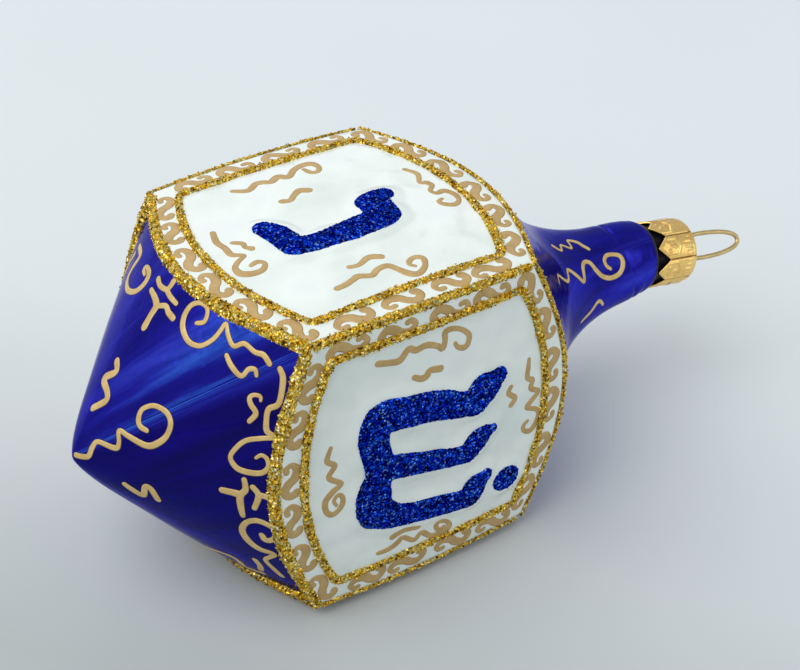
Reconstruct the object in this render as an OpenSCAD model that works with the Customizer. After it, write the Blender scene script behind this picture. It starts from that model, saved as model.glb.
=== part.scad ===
// A mould-blown glass dreidel with a hanging cap, lying on one of its four faces.
// The body axis runs along X: the spinning point is towards -X and the neck towards +X.
// The origin is under the middle of the whole length, at the height of what it lies on.

/* [Body] */
// Distance between opposite faces, measured at the long edges
body_w = 50; // [44:0.5:60]
// How far the middle of a face stands above its long edges
face_crown = 0.9; // [0.5:0.1:1.6]
// Length of the body along the middle of a face
body_mid_l = 52; // [48:0.5:58]
// Length of the body along a long edge, from corner to corner
body_edge_l = 38.4; // [34:0.2:42]
// Thickness of the blown glass
glass_wall = 0.9; // [0.6:0.1:1.4]

/* [Point] */
// Distance from the middle of the body to where the flanks of the point would meet
point_reach = 47.1; // [43:0.1:54]
// How much of the sharp point the rounded tip takes away
tip_cut = 0.9; // [0.6:0.1:1.2]

/* [Neck] */
// Distance from the middle of the body to where the flanks of the shoulder would meet
shoulder_reach = 47.1; // [44:0.1:52]
// Length of the neck, from the middle of a border to the slight bend
neck_l = 33.1; // [27:0.1:38]
// Radius of the neck at the bend
neck_r = 6.85; // [6.4:0.05:8.5]
// How far the neck steps in at the bend
neck_step = 0.2; // [0.1:0.05:0.3]
// Narrowing of the neck towards its mouth, in degrees
neck_taper = 4.8; // [2:0.1:6]
// Radius of the hollow curve between shoulder and neck
flare_r = 34.1; // [24:0.1:40]
// Lean of the hand-finished neck away from the body axis, in degrees
neck_lean = 1.9; // [0:0.1:4]
// Further lean of the mouth, from the bend on, in degrees
mouth_lean = 6.3; // [0:0.1:8]
// Lean of the mouth towards the shin face, from the bend on, in degrees
mouth_side = 4.3; // [0:0.1:6]
// Distance from the bend to the rim where the neck steps in
rim_reach = 2.95; // [2.5:0.05:9]
// Rounding of that rim
rim_r = 1.55; // [0.95:0.05:1.8]
// Outer radius of the drawn-in end that carries the cap
mouth_r = 5; // [4.6:0.1:5.1]

/* [Coats] */
// Thickness of the white enamel on the faces
enamel_t = 0.2; // [0.1:0.05:0.3]
// Thickness of the dark coat round the mouth
mouth_coat_t = 0.15; // [0.1:0.05:0.2]
// How far up the rounded rim this coat starts, in degrees
coat_start = 40; // [0:5:60]
// Width of the glitter bead round the two ends of the body
border_bead_w = 2.2; // [1.6:0.1:3]
// Width of the glitter bead on a long edge
edge_bead_w = 2; // [1.4:0.1:2.6]
// Height of these beads above the glass
ridge_bead_h = 0.7; // [0.5:0.1:1]
// Width of the glitter bead that frames a face
frame_bead_w = 1.7; // [1.2:0.1:2.2]
// Height of the framing bead above the enamel
frame_bead_h = 0.7; // [0.4:0.1:1]
// Width of the band left bare between a face's beads and its frame
band_w = 2.7; // [2:0.1:3.6]
// Size of the letters, from which all their strokes follow
letter_size = 25; // [20:0.5:26]
// Height of the glitter letters above the enamel
letter_h = 0.9; // [0.6:0.1:1.2]

/* [Cap] */
// Height of the stamped cap, from the tips of its lobes to its top
cap_h = 8.5; // [8:0.1:11]
// Thickness of the sheet metal
cap_sheet = 0.3; // [0.2:0.05:0.35]
// Rounding of the cap's top edge
cap_edge_r = 0.7; // [0.5:0.1:1]
// Number of pointed lobes round the skirt
cap_lobes = 8; // [6:1:10]
// Depth of the notches between the lobes
cap_notch_h = 2.5; // [2:0.1:4]
// Turn of the cap round the mouth, in degrees
cap_turn = -18; // [-22:1:23]
// Clearance between the cap and the dark coat round the mouth
cap_clear = 0.25; // [0.15:0.05:0.3]
// Gap between the glass mouth and the underside of the cap's top
cap_seat = 0.25; // [0.1:0.05:0.4]
// Gap between the tips of the lobes and the rim of the neck
lobe_gap = 0.2; // [0.15:0.05:0.8]

/* [Hanger] */
// Diameter of the wire
wire_d = 0.84; // [0.7:0.02:1]
// Distance between the two legs of the wire, centre to centre
leg_gap = 3.9; // [3.4:0.1:4.4]
// Height of the hanging loop above the cap
loop_h = 14.1; // [11:0.1:17]
// Clearance of the wire in the cap's two holes
wire_clear = 0.06; // [0.04:0.01:0.1]
// Angle at which the sprung legs spread inside the neck, in degrees
leg_splay = 19; // [16:0.5:24]
// Radius of the bend where they start to spread
leg_bend_r = 1.6; // [1:0.1:2.4]
// Gap between the ends of the sprung legs and the inside of the neck
foot_clear = 0.7; // [0.6:0.05:1]
// Turn of the loop round the neck as it lies, in degrees
loop_turn = -36; // [-90:1:90]

/* [Hidden] */

// Fineness of curves: wide arcs, long cones, turned parts and wire
arc_fn = 2880;
cone_fn = 360;
turn_fn = 144;
wire_fn = 64;
// How far cutting shapes run past what they cut
over = 1;

// The faces, counted round the body from the top: nun, gimel, hei, shin
face_turns = [0, -90, 180, 90];
half_w = body_w / 2;
face_top = half_w + face_crown;
// Each face is part of a wide ball
face_r = (half_w * half_w + face_crown * face_crown) / (2 * face_crown);
// Everything lies within this distance of a face's normal
reach = max(point_reach, shoulder_reach) + half_w;

// Height of a face above the axis at x, y
function face_z(x, y) = face_top - face_r + sqrt(face_r * face_r - x * x - y * y);
// Distance of a long edge from each of its two middle planes, at x
function edge_z(x) = let (c = face_top - face_r) (c + sqrt(2 * (face_r * face_r - x * x) - c * c)) / 2;

mid_x = body_mid_l / 2;
edge_x = body_edge_l / 2;
// A flank is part of a cone whose apex is on the body axis. These are the slopes of its
// middle line and of the ridge where it meets the next one, and the tilt and half-angle
// of the cone that holds both lines.
function mid_slope(apex) = atan2(face_z(mid_x, 0), apex - mid_x);
function ridge_slope(apex) = atan2(edge_z(edge_x) * sqrt(2), apex - edge_x);
function flank_tilt(apex) = let (m = mid_slope(apex), r = ridge_slope(apex))
    atan2(cos(m) - cos(r), sin(m) - sin(r) / sqrt(2));
function flank_angle(apex) = mid_slope(apex) + flank_tilt(apex);

point_slope = mid_slope(point_reach);
shoulder_slope = mid_slope(shoulder_reach);
tip_x = point_reach - tip_cut;
// The ball that rounds the tip is a little fuller than one that would just touch the ridges
tip_fullness_share = 1.08;
tip_r = tip_cut / (1 / sin(ridge_slope(point_reach)) - 1) * tip_fullness_share;

// The curve from shoulder to neck, in a plane through the neck axis
bend_x = mid_x + neck_l;
flare_sink = glass_wall / 3;
flare_apex = shoulder_reach - flare_sink / sin(shoulder_slope);
flare_corner_x = (flare_apex * tan(shoulder_slope) - neck_r - bend_x * tan(neck_taper))
    / (tan(shoulder_slope) - tan(neck_taper));
flare_corner_r = (flare_apex - flare_corner_x) * tan(shoulder_slope);
flare_run = flare_r * tan((shoulder_slope - neck_taper) / 2);
flare_x = flare_corner_x - flare_run * cos(shoulder_slope);
flare_start_r = flare_corner_r + flare_run * sin(shoulder_slope);
flare_root_slope = shoulder_slope * 3 / 4;

// Places along the mouth axis, counted from the bend
bent_r = neck_r - neck_step;
rim_neck_r = bent_r - rim_reach * tan(neck_taper);
lobe_u = rim_reach + mouth_coat_t + lobe_gap;
cap_top_u = lobe_u + cap_h;
mouth_u = cap_top_u - cap_sheet - cap_seat;
bend_angle = acos(cos(mouth_lean) * cos(mouth_side));
bend_overlap = neck_r * tan(bend_angle) + neck_step;
coat_start_u = rim_reach - rim_r * (1 - sin(coat_start));
cap_in_r = mouth_r + mouth_coat_t + cap_clear;
cap_out_r = cap_in_r + cap_sheet;

// The hanger
wire_r = wire_d / 2;
leg_r = leg_gap / 2;
loop_u = cap_top_u + loop_h - wire_r - leg_r;
splay_u = rim_reach;
foot_r = neck_r - glass_wall - wire_r - foot_clear;
splay_l = (foot_r - leg_r - leg_bend_r * (1 - cos(leg_splay))) / sin(leg_splay);

// Depth below one surface at which a bead ends on the next, across the ridge
edge_depth = edge_bead_w / 2;
point_depth = border_bead_w / 2 * sin(point_slope);
neck_depth = border_bead_w / 2 * sin(shoulder_slope);

// The frame on a face: its outer outline, as half its width and the bows of its ends
frame_half = edge_z(0) - edge_bead_w / 2 - band_w;
frame_mid_x = mid_x - border_bead_w / 2 - band_w;
frame_corner_x = edge_x - (border_bead_w + band_w) / 2;

// Where the origin lies: the middle of the whole length, and the underside of the letter
lean = neck_lean + mouth_lean;
mouth_x = cos(lean) * cos(mouth_side);
legs_x = cos(loop_turn) * sin(lean) - sin(loop_turn) * cos(lean) * sin(mouth_side);
loop_end_x = bend_x * cos(neck_lean) + loop_u * mouth_x + leg_r * norm([mouth_x, legs_x]) + wire_r;
origin_x = (loop_end_x - tip_x) / 2;
origin_z = face_top + enamel_t + letter_h;

// Strokes of the letters: [up, left, radius], as shares of the letter size
nun_shares = [[[-0.43, 0.13, 0.07], [-0.4, 0.05, 0.09], [-0.38, -0.05, 0.09], [-0.37, -0.15, 0.09]],
    [[-0.37, -0.15, 0.085], [-0.2, -0.175, 0.085], [0, -0.17, 0.1], [0.2, -0.152, 0.105], [0.27, -0.13, 0.1]],
    [[0.27, -0.11, 0.105], [0.275, -0.03, 0.11], [0.29, 0.03, 0.105]],
    [[0.26, 0.03, 0.095], [0.33, 0.062, 0.082], [0.395, 0.078, 0.062]]];
gimel_shares = [[[0.27, -0.11, 0.105], [0.275, -0.03, 0.11], [0.29, 0.03, 0.105]],
    [[0.26, 0.03, 0.095], [0.33, 0.062, 0.082], [0.395, 0.078, 0.062]],
    [[0.27, -0.13, 0.1], [0.05, -0.15, 0.1], [-0.2, -0.17, 0.095], [-0.44, -0.2, 0.085]],
    [[-0.14, -0.14, 0.075], [-0.29, 0.03, 0.09], [-0.43, 0.2, 0.07]]];
hei_shares = [[[0.4, 0.42, 0.055], [0.37, 0.28, 0.09], [0.36, -0.28, 0.1]],
    [[0.36, -0.3, 0.105], [0, -0.34, 0.1], [-0.46, -0.34, 0.075]],
    [[0.08, 0.28, 0.055], [-0.14, 0.28, 0.09], [-0.46, 0.26, 0.075]]];
shin_shares = [[[-0.36, 0.35, 0.115], [-0.395, 0.25, 0.11], [-0.39, 0.14, 0.1], [-0.36, 0.02, 0.1]],
    [[-0.37, -0.08, 0.1], [-0.4, -0.18, 0.12], [-0.4, -0.3, 0.125]],
    [[-0.32, 0.352, 0.12], [-0.18, 0.332, 0.116], [0.045, 0.287, 0.108], [0.2, 0.225, 0.095], [0.32, 0.2, 0.1]],
    [[0.33, 0.2, 0.105], [0.38, 0.26, 0.125], [0.445, 0.295, 0.1], [0.49, 0.32, 0.064]],
    [[-0.36, -0.02, 0.1], [-0.2, -0.06, 0.09], [0, -0.115, 0.08], [0.17, -0.161, 0.072], [0.28, -0.175, 0.08]],
    [[0.28, -0.17, 0.082], [0.345, -0.11, 0.09], [0.41, -0.075, 0.062], [0.455, -0.065, 0.038]],
    [[-0.385, -0.35, 0.122], [-0.26, -0.435, 0.095], [-0.1, -0.48, 0.086], [0.05, -0.51, 0.086],
        [0.2, -0.542, 0.08], [0.31, -0.55, 0.09]],
    [[0.31, -0.545, 0.092], [0.355, -0.475, 0.095], [0.415, -0.43, 0.058]],
    [[0.583, -0.54, 0.094], [0.598, -0.54, 0.094]]];
// Steps between two spots of a stroke, and round each of its ends
stroke_steps = 4;
cap_steps = 6;

// Moves from the body's own axis to the place where the dreidel lies
module laid() { translate([-origin_x, 0, origin_z]) children(); }
module along_neck() { rotate([0, neck_lean, 0]) children(); }
module at_mouth() {
    along_neck() translate([bend_x, 0, 0]) rotate([0, mouth_lean, 0]) rotate([0, 0, -mouth_side]) children();
}
// Turned parts are drawn upright and tipped over, so that up becomes along
module turned() { rotate([0, 90, 0]) rotate_extrude($fn = turn_fn) children(); }

// Everything under one face, grown outwards by g
module under_face(g) {
    rotate_extrude($fn = turn_fn) intersection() {
        translate([0, face_top - face_r]) circle(face_r + g, $fn = arc_fn);
        translate([0, -body_w]) square([reach, 2 * body_w + g]);
    }
}

module at_face(turn) { rotate([turn, 0, 0]) children(); }

// Everything within the flank that runs from one face to the apex at +apex on the axis
module under_flank(turn, apex, g) {
    length = apex + reach;
    angle = flank_angle(apex);
    at_face(turn) translate([apex, 0, 0]) rotate([0, -90 - flank_tilt(apex), 0])
        translate([0, 0, -g / sin(angle)])
            cylinder(h = length, r1 = 0, r2 = length * tan(angle), $fn = cone_fn);
}

module under_point(turn, g) { mirror([1, 0, 0]) under_flank(turn, point_reach, g); }
module under_shoulder(turn, g) { under_flank(turn, shoulder_reach, g); }

// The quarter of space round the axis that belongs to one face
module quarter(turn) {
    at_face(turn) rotate([90, 0, 90]) linear_extrude(2 * reach, center = true)
        polygon([[0, 0], [body_w, body_w], [-body_w, body_w]]);
}

// The four-sided body with both its ends, grown outwards by g
module block(g) {
    for (turn = face_turns) intersection() {
        at_face(turn) under_face(g);
        under_point(turn, g);
        under_shoulder(turn, g);
        quarter(turn);
    }
}

// A ball at the tip with open space behind it, which rounds the point off, grown outwards by g
module round_tip(g) {
    translate([tip_r - tip_x - g / sin(point_slope), 0, 0]) {
        sphere(tip_r, $fn = turn_fn);
        translate([-tip_r * sin(point_slope), -reach, -reach]) cube([3 * reach, 2 * reach, 2 * reach]);
    }
}

// The neck up to its bend, with the hollow curve that starts on the shoulder
module flared_neck(g) {
    start = [flare_start_r + g * cos(shoulder_slope), flare_x + g * sin(shoulder_slope)];
    centre = [flare_start_r + flare_r * cos(shoulder_slope), flare_x + flare_r * sin(shoulder_slope)];
    foot = centre - (flare_r - g) * [cos(neck_taper), sin(neck_taper)];
    turned() difference() {
        polygon([[0, mid_x], [start.x + (start.y - mid_x) * tan(flare_root_slope), mid_x], start, centre,
            foot, [neck_r + g, bend_x], [0, bend_x]]);
        translate(centre) circle(flare_r - g, $fn = cone_fn * 2);
    }
}

// Outline of the neck's last part: past the bend, the rounded rim and the drawn-in mouth
module neck_end_outline(g, end_u) {
    round_x = rim_neck_r - rim_r;
    square([mouth_r + g, end_u]);
    intersection() {
        union() {
            translate([round_x, rim_reach - rim_r]) circle(rim_r + g, $fn = turn_fn);
            translate([0, -bend_overlap]) square([bent_r + rim_r, bend_overlap + rim_reach - rim_r]);
            translate([0, -bend_overlap]) square([round_x, bend_overlap + rim_reach + g]);
        }
        polygon([[0, -bend_overlap], [bent_r + g + bend_overlap * tan(neck_taper), -bend_overlap],
            [rim_neck_r + g, rim_reach], [rim_neck_r + g, rim_reach + over], [0, rim_reach + over]]);
    }
}

module neck_end(g, end_u) { turned() neck_end_outline(g, end_u); }

// The blown glass: body, point, neck and mouth in one hollow piece
module glass_body() {
    color("#2a2f9e") laid() difference() {
        union() {
            intersection() {
                block(0);
                round_tip(0);
            }
            along_neck() flared_neck(0);
            at_mouth() neck_end(0, mouth_u);
        }
        intersection() {
            block(-glass_wall);
            round_tip(-glass_wall);
        }
        along_neck() flared_neck(-glass_wall);
        at_mouth() neck_end(-glass_wall, mouth_u + over);
    }
}

// A skin between two heights on the face that lies at the given turn
module face_skin(turn, low, high) {
    at_face(turn) difference() {
        under_face(high);
        under_face(low);
    }
}

// White enamel on one face, inside the beads round it
module face_enamel(turn) {
    color("#eef1f2") laid() intersection() {
        face_skin(turn, 0, enamel_t);
        at_face(turn + 90) under_face(-edge_depth);
        at_face(turn - 90) under_face(-edge_depth);
        under_point(turn, -point_depth);
        under_shoulder(turn, -neck_depth);
    }
}

// Glitter bead round the end of the body where the point starts
module point_border_bead() {
    color("#c79a2e") laid() for (turn = face_turns) difference() {
        intersection() {
            at_face(turn) under_face(ridge_bead_h);
            under_point(turn, ridge_bead_h);
            quarter(turn);
            translate([-reach, -reach, -reach]) cube([reach, 2 * reach, 2 * reach]);
        }
        intersection() {
            at_face(turn) under_face(0);
            under_point(turn, 0);
        }
        at_face(turn) under_face(-point_depth);
        under_point(turn, -point_depth);
    }
}

// Glitter bead round the end of the body where the shoulder starts
module neck_border_bead() {
    color("#c79a2e") laid() for (turn = face_turns) difference() {
        intersection() {
            at_face(turn) under_face(ridge_bead_h);
            under_shoulder(turn, ridge_bead_h);
            quarter(turn);
            translate([0, -reach, -reach]) cube([reach, 2 * reach, 2 * reach]);
        }
        intersection() {
            at_face(turn) under_face(0);
            under_shoulder(turn, 0);
        }
        at_face(turn) under_face(-neck_depth);
        under_shoulder(turn, -neck_depth);
    }
}

// Half of the glitter bead on a long edge: the half on this face, next to the other one
module half_edge_bead(turn, next_turn) {
    difference() {
        intersection() {
            face_skin(turn, 0, ridge_bead_h);
            quarter(turn);
            at_face((turn + next_turn) / 2) translate([-reach, -reach, 0]) cube([2 * reach, 2 * reach, reach]);
            under_point(turn, -point_depth);
            under_shoulder(turn, -neck_depth);
        }
        at_face(next_turn) under_face(-edge_depth);
    }
}

// Glitter bead on the long edge between two faces
module edge_bead(turn, next_turn) {
    color("#c79a2e") laid() {
        half_edge_bead(turn, next_turn);
        half_edge_bead(next_turn, turn);
    }
}

// Outline of a face's frame, drawn in by g: straight sides and bowed ends
module frame_outline(g) {
    bow = frame_mid_x - frame_corner_x;
    bow_r = (frame_half * frame_half + bow * bow) / (2 * bow);
    intersection() {
        square([body_mid_l, 2 * (frame_half - g)], center = true);
        translate([frame_mid_x - bow_r, 0]) circle(bow_r - g, $fn = arc_fn / 4);
        translate([bow_r - frame_mid_x, 0]) circle(bow_r - g, $fn = arc_fn / 4);
    }
}

// Glitter bead that frames a face
module frame_bead(turn) {
    color("#d0a233") laid() intersection() {
        face_skin(turn, enamel_t, enamel_t + frame_bead_h);
        at_face(turn) linear_extrude(body_w) difference() {
            frame_outline(0);
            frame_outline(frame_bead_w);
        }
    }
}

// A place between spot i and the next one of a stroke, on a smooth curve through all spots
function between(s, i, t) = let (
        a = s[max(i - 1, 0)], b = s[i], c = s[i + 1], d = s[min(i + 2, len(s) - 1)])
    b + (c - a) * t / 2 + (a * 2 - b * 5 + c * 4 - d) * t * t / 2 + (b * 3 - a - c * 3 + d) * t * t * t / 2;
function fine_spots(s) = [
    for (i = [0:len(s) - 2]) for (k = [0:stroke_steps - 1]) between(s, i, k / stroke_steps), s[len(s) - 1]];
// Direction of a stroke at place i, and the point of its rim at an angle from there
function heading(p, i) = let (v = p[min(i + 1, len(p) - 1)] - p[max(i - 1, 0)]) atan2(v.y, v.x);
function rim(p, i, angle) = let (a = heading(p, i) + angle) [p[i].x, p[i].y] + p[i].z * [cos(a), sin(a)];

// One brush stroke: up one side, round the end, back down the other and round the start
module stroke(spots) {
    p = fine_spots(spots);
    last = len(p) - 1;
    polygon(letter_size * concat(
        [for (i = [0:last]) rim(p, i, 90)],
        [for (k = [1:cap_steps - 1]) rim(p, last, 90 - k * 180 / cap_steps)],
        [for (i = [last:-1:0]) rim(p, i, -90)],
        [for (k = [1:cap_steps - 1]) rim(p, 0, -90 - k * 180 / cap_steps)]));
}

// A raised letter in blue glitter, standing on the enamel of one face
module letter(turn, shares) {
    color("#1a24a8") laid() intersection() {
        face_skin(turn, enamel_t, enamel_t + letter_h);
        at_face(turn) linear_extrude(body_w) for (s = shares) stroke(s);
    }
}

// Dark coat from the rounded rim up the outside of the mouth
module mouth_coat() {
    color("#14141c") laid() at_mouth() turned() difference() {
        neck_end_outline(mouth_coat_t, mouth_u - cap_sheet);
        neck_end_outline(0, mouth_u + over);
        translate([0, -bend_overlap - over]) square([neck_r + over, bend_overlap + over + coat_start_u]);
    }
}

// Stamped sheet-metal cap: pointed lobes, notches between them and two holes for the wire
module crown_cap() {
    notch_w = cap_out_r * tan(180 / cap_lobes) - cap_sheet / 2;
    color("#e0a95c") laid() at_mouth() difference() {
        turned() difference() {
            union() {
                translate([0, lobe_u]) square([cap_out_r, cap_h - cap_edge_r]);
                translate([0, lobe_u]) square([cap_out_r - cap_edge_r, cap_h]);
                translate([cap_out_r - cap_edge_r, cap_top_u - cap_edge_r]) circle(cap_edge_r, $fn = turn_fn);
            }
            translate([0, lobe_u - over]) square([cap_in_r, cap_h + over - cap_edge_r]);
            translate([0, lobe_u - over]) square([cap_out_r - cap_edge_r, cap_h + over - cap_sheet]);
            translate([cap_out_r - cap_edge_r, cap_top_u - cap_edge_r])
                circle(cap_edge_r - cap_sheet, $fn = turn_fn);
        }
        for (i = [1:cap_lobes]) rotate([cap_turn + i * 360 / cap_lobes, 0, 0]) linear_extrude(cap_out_r + over)
            polygon([[lobe_u + cap_notch_h, 0], [lobe_u, notch_w], [lobe_u - over, notch_w],
                [lobe_u - over, -notch_w], [lobe_u, -notch_w]]);
        rotate([loop_turn, 0, 0]) for (side = [-1, 1]) translate([cap_top_u - cap_sheet - over, 0, side * leg_r])
            rotate([0, 90, 0]) cylinder(h = cap_sheet + 2 * over, r = wire_r + wire_clear, $fn = wire_fn * 2);
    }
}

// One leg of the wire: straight through the cap, then spread towards the inside of the neck
module wire_leg() {
    translate([splay_u, 0, leg_r]) rotate([0, 90, 0])
        cylinder(h = loop_u - splay_u, r = wire_r, $fn = wire_fn);
    translate([splay_u, 0, leg_r + leg_bend_r]) {
        rotate([-90, 90, 0]) rotate_extrude(angle = leg_splay, $fn = turn_fn)
            translate([leg_bend_r, 0]) circle(wire_r, $fn = wire_fn);
        rotate([0, leg_splay, 0]) translate([0, 0, -leg_bend_r]) rotate([0, -90, 0])
            cylinder(h = splay_l, r = wire_r, $fn = wire_fn);
    }
}

// Spring wire: a narrow loop over the cap and two legs that spread inside the neck
module wire_hanger() {
    color("#b8a06a") laid() at_mouth() rotate([loop_turn, 0, 0]) {
        translate([loop_u, 0, 0]) rotate([-90, -90, 0]) rotate_extrude(angle = 180, $fn = turn_fn)
            translate([leg_r, 0]) circle(wire_r, $fn = wire_fn);
        wire_leg();
        mirror([0, 0, 1]) wire_leg();
    }
}

glass_body();
face_enamel(face_turns[0]);  // nun_face_enamel
face_enamel(face_turns[1]);  // gimel_face_enamel
face_enamel(face_turns[2]);  // hei_face_enamel
face_enamel(face_turns[3]);  // shin_face_enamel
point_border_bead();
neck_border_bead();
edge_bead(face_turns[3], face_turns[0]);  // edge_bead_shin_nun
edge_bead(face_turns[0], face_turns[1]);  // edge_bead_nun_gimel
edge_bead(face_turns[1], -face_turns[2]);  // edge_bead_gimel_hei
edge_bead(face_turns[2], face_turns[3]);  // edge_bead_hei_shin
frame_bead(face_turns[0]);  // nun_frame_bead
frame_bead(face_turns[1]);  // gimel_frame_bead
frame_bead(face_turns[2]);  // hei_frame_bead
frame_bead(face_turns[3]);  // shin_frame_bead
letter(face_turns[0], nun_shares);  // nun_letter
letter(face_turns[1], gimel_shares);  // gimel_letter
letter(face_turns[2], hei_shares);  // hei_letter
letter(face_turns[3], shin_shares);  // shin_letter
mouth_coat();
crown_cap();
wire_hanger();
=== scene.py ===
import math
import bmesh
import bpy
import numpy as np
from mathutils import Matrix, Vector
from mathutils.geometry import delaunay_2d_cdt


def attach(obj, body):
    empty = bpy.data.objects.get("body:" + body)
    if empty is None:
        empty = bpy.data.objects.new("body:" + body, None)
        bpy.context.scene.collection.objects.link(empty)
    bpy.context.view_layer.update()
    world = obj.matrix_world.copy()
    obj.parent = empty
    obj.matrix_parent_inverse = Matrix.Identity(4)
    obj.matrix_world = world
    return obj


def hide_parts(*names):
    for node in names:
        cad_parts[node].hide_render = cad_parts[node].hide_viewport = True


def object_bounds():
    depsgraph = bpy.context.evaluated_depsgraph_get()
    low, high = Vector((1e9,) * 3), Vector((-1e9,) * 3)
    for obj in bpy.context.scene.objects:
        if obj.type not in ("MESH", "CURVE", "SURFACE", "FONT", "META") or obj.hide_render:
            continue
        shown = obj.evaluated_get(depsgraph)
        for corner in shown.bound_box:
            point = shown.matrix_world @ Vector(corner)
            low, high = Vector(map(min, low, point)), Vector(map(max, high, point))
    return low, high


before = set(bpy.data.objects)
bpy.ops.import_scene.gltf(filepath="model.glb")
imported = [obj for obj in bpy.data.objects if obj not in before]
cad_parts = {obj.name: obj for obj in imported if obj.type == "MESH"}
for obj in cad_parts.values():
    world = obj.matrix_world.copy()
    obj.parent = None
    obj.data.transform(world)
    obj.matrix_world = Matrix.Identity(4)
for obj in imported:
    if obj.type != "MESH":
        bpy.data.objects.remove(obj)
cadBox = [list(v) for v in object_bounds()]
print("frame loaded:", len(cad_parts), "nodes")

# Sizes are in millimetres. x runs along the dreidel's axis from the middle of its body and z
# stands out of the nun face. placeX and placeZ move that middle into the shared frame.
glass = {"halfWidth": 25, "crown": 0.9, "midX": 26, "edgeX": 19.2, "apexX": 47.1, "tipCut": 0.9,
         "wall": 0.9, "faceSoft": 0.5, "ridgeSoft": 2.6, "borderSoft": 0.3, "swell": 0.95,
         "swellBend": 0.52, "columns": 240, "placeX": -19.2304, "placeZ": 27}
neck = {"lean": 1.9, "bendX": 59.1, "bendRadius": 6.85, "step": 0.2, "taper": 4.8, "flareRadius": 34.1,
        "mouthLean": 6.3, "mouthSide": 4.3, "rimU": 2.95, "rimRound": 1.55, "mouthRadius": 5,
        "mouthU": 11.25, "joinSoft": 1.2}
faceTurns = {"nun": 0, "gimel": -90, "hei": 180, "shin": 90}


def sind(a):
    return math.sin(math.radians(a))


def cosd(a):
    return math.cos(math.radians(a))


def tand(a):
    return math.tan(math.radians(a))


faceTop = glass["halfWidth"] + glass["crown"]
faceRadius = (glass["halfWidth"] ** 2 + glass["crown"] ** 2) / (2 * glass["crown"])
faceCentre = faceTop - faceRadius


def edgeHeight(x):  # distance of a long edge from each middle plane
    return (faceCentre + math.sqrt(2 * (faceRadius ** 2 - x * x) - faceCentre ** 2)) / 2


midSlope = math.degrees(math.atan2(faceCentre + math.sqrt(faceRadius ** 2 - glass["midX"] ** 2),
                                   glass["apexX"] - glass["midX"]))
ridgeSlope = math.degrees(math.atan2(edgeHeight(glass["edgeX"]) * math.sqrt(2),
                                     glass["apexX"] - glass["edgeX"]))
flankTilt = math.degrees(math.atan2(cosd(midSlope) - cosd(ridgeSlope),
                                    sind(midSlope) - sind(ridgeSlope) / math.sqrt(2)))
flankAngle = midSlope + flankTilt
flankAxis = np.array([-cosd(flankTilt), 0, -sind(flankTilt)])

# The hollow curve between shoulder and neck, as (radius, place along the neck axis)
flareApex = glass["apexX"] - glass["wall"] / 3 / sind(midSlope)
cornerU = ((flareApex * tand(midSlope) - neck["bendRadius"] - neck["bendX"] * tand(neck["taper"]))
           / (tand(midSlope) - tand(neck["taper"])))
flareRun = neck["flareRadius"] * tand((midSlope - neck["taper"]) / 2)
flareU = cornerU - flareRun * cosd(midSlope)
flareStart = (flareApex - cornerU) * tand(midSlope) + flareRun * sind(midSlope)
flareMiddle = (flareStart + neck["flareRadius"] * cosd(midSlope),
               flareU + neck["flareRadius"] * sind(midSlope))
flareEndU = flareMiddle[1] - neck["flareRadius"] * sind(neck["taper"])
bentRadius = neck["bendRadius"] - neck["step"]
rimRadius = bentRadius - neck["rimU"] * tand(neck["taper"])


def leanAxes(down, side=0):
    # Along, sideways and up for something that leans down and towards the shin face
    return (np.array([cosd(down) * cosd(side), -sind(side), -sind(down) * cosd(side)]),
            np.array([cosd(down) * sind(side), cosd(side), -sind(down) * sind(side)]),
            np.array([sind(down), 0, cosd(down)]))


neckAxes = leanAxes(neck["lean"])
mouthAxes = leanAxes(neck["lean"] + neck["mouthLean"], neck["mouthSide"])
bendPoint = neckAxes[0] * neck["bendX"]


def inFrame(points):  # the dreidel's own millimetres to the shared frame's metres
    return (np.asarray(points, float) + (glass["placeX"], 0, glass["placeZ"])) * 0.001


def turned(p, turn):  # turned round the dreidel's axis
    p = np.asarray(p, float)
    c, s = cosd(turn), sind(turn)
    return np.stack([p[..., 0], p[..., 1] * c - p[..., 2] * s, p[..., 1] * s + p[..., 2] * c], -1)


def unit(v):
    return v / np.maximum(np.linalg.norm(v, axis=-1, keepdims=True), 1e-9)


def smoothMax(a, b, soft):
    h = np.maximum(soft - np.abs(a - b), 0) / soft
    return np.maximum(a, b) + h * h * soft / 4


def smoothStep(low, high, value):
    t = np.clip((value - low) / (high - low), 0, 1)
    return t * t * (3 - 2 * t)


# Gaps are signed distances: below zero inside
def ballGap(p):
    return np.linalg.norm(p - (0, 0, faceCentre), axis=-1) - faceRadius


def flankGap(p, end):
    q = p * (end, 1, 1) - (glass["apexX"], 0, 0)
    along = q @ flankAxis
    away = np.linalg.norm(q - along[..., None] * flankAxis, axis=-1)
    return away * cosd(flankAngle) - along * sind(flankAngle)


def neckRadius(u):
    flare = flareMiddle[0] - np.sqrt(np.maximum(neck["flareRadius"] ** 2 - (u - flareMiddle[1]) ** 2, 0))
    straight = neck["bendRadius"] + (neck["bendX"] - u) * tand(neck["taper"])
    root = flareStart + (flareU - u) * tand(midSlope * 0.75)
    return np.where(u < flareU, root, np.where(u < flareEndU, flare, straight))


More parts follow.
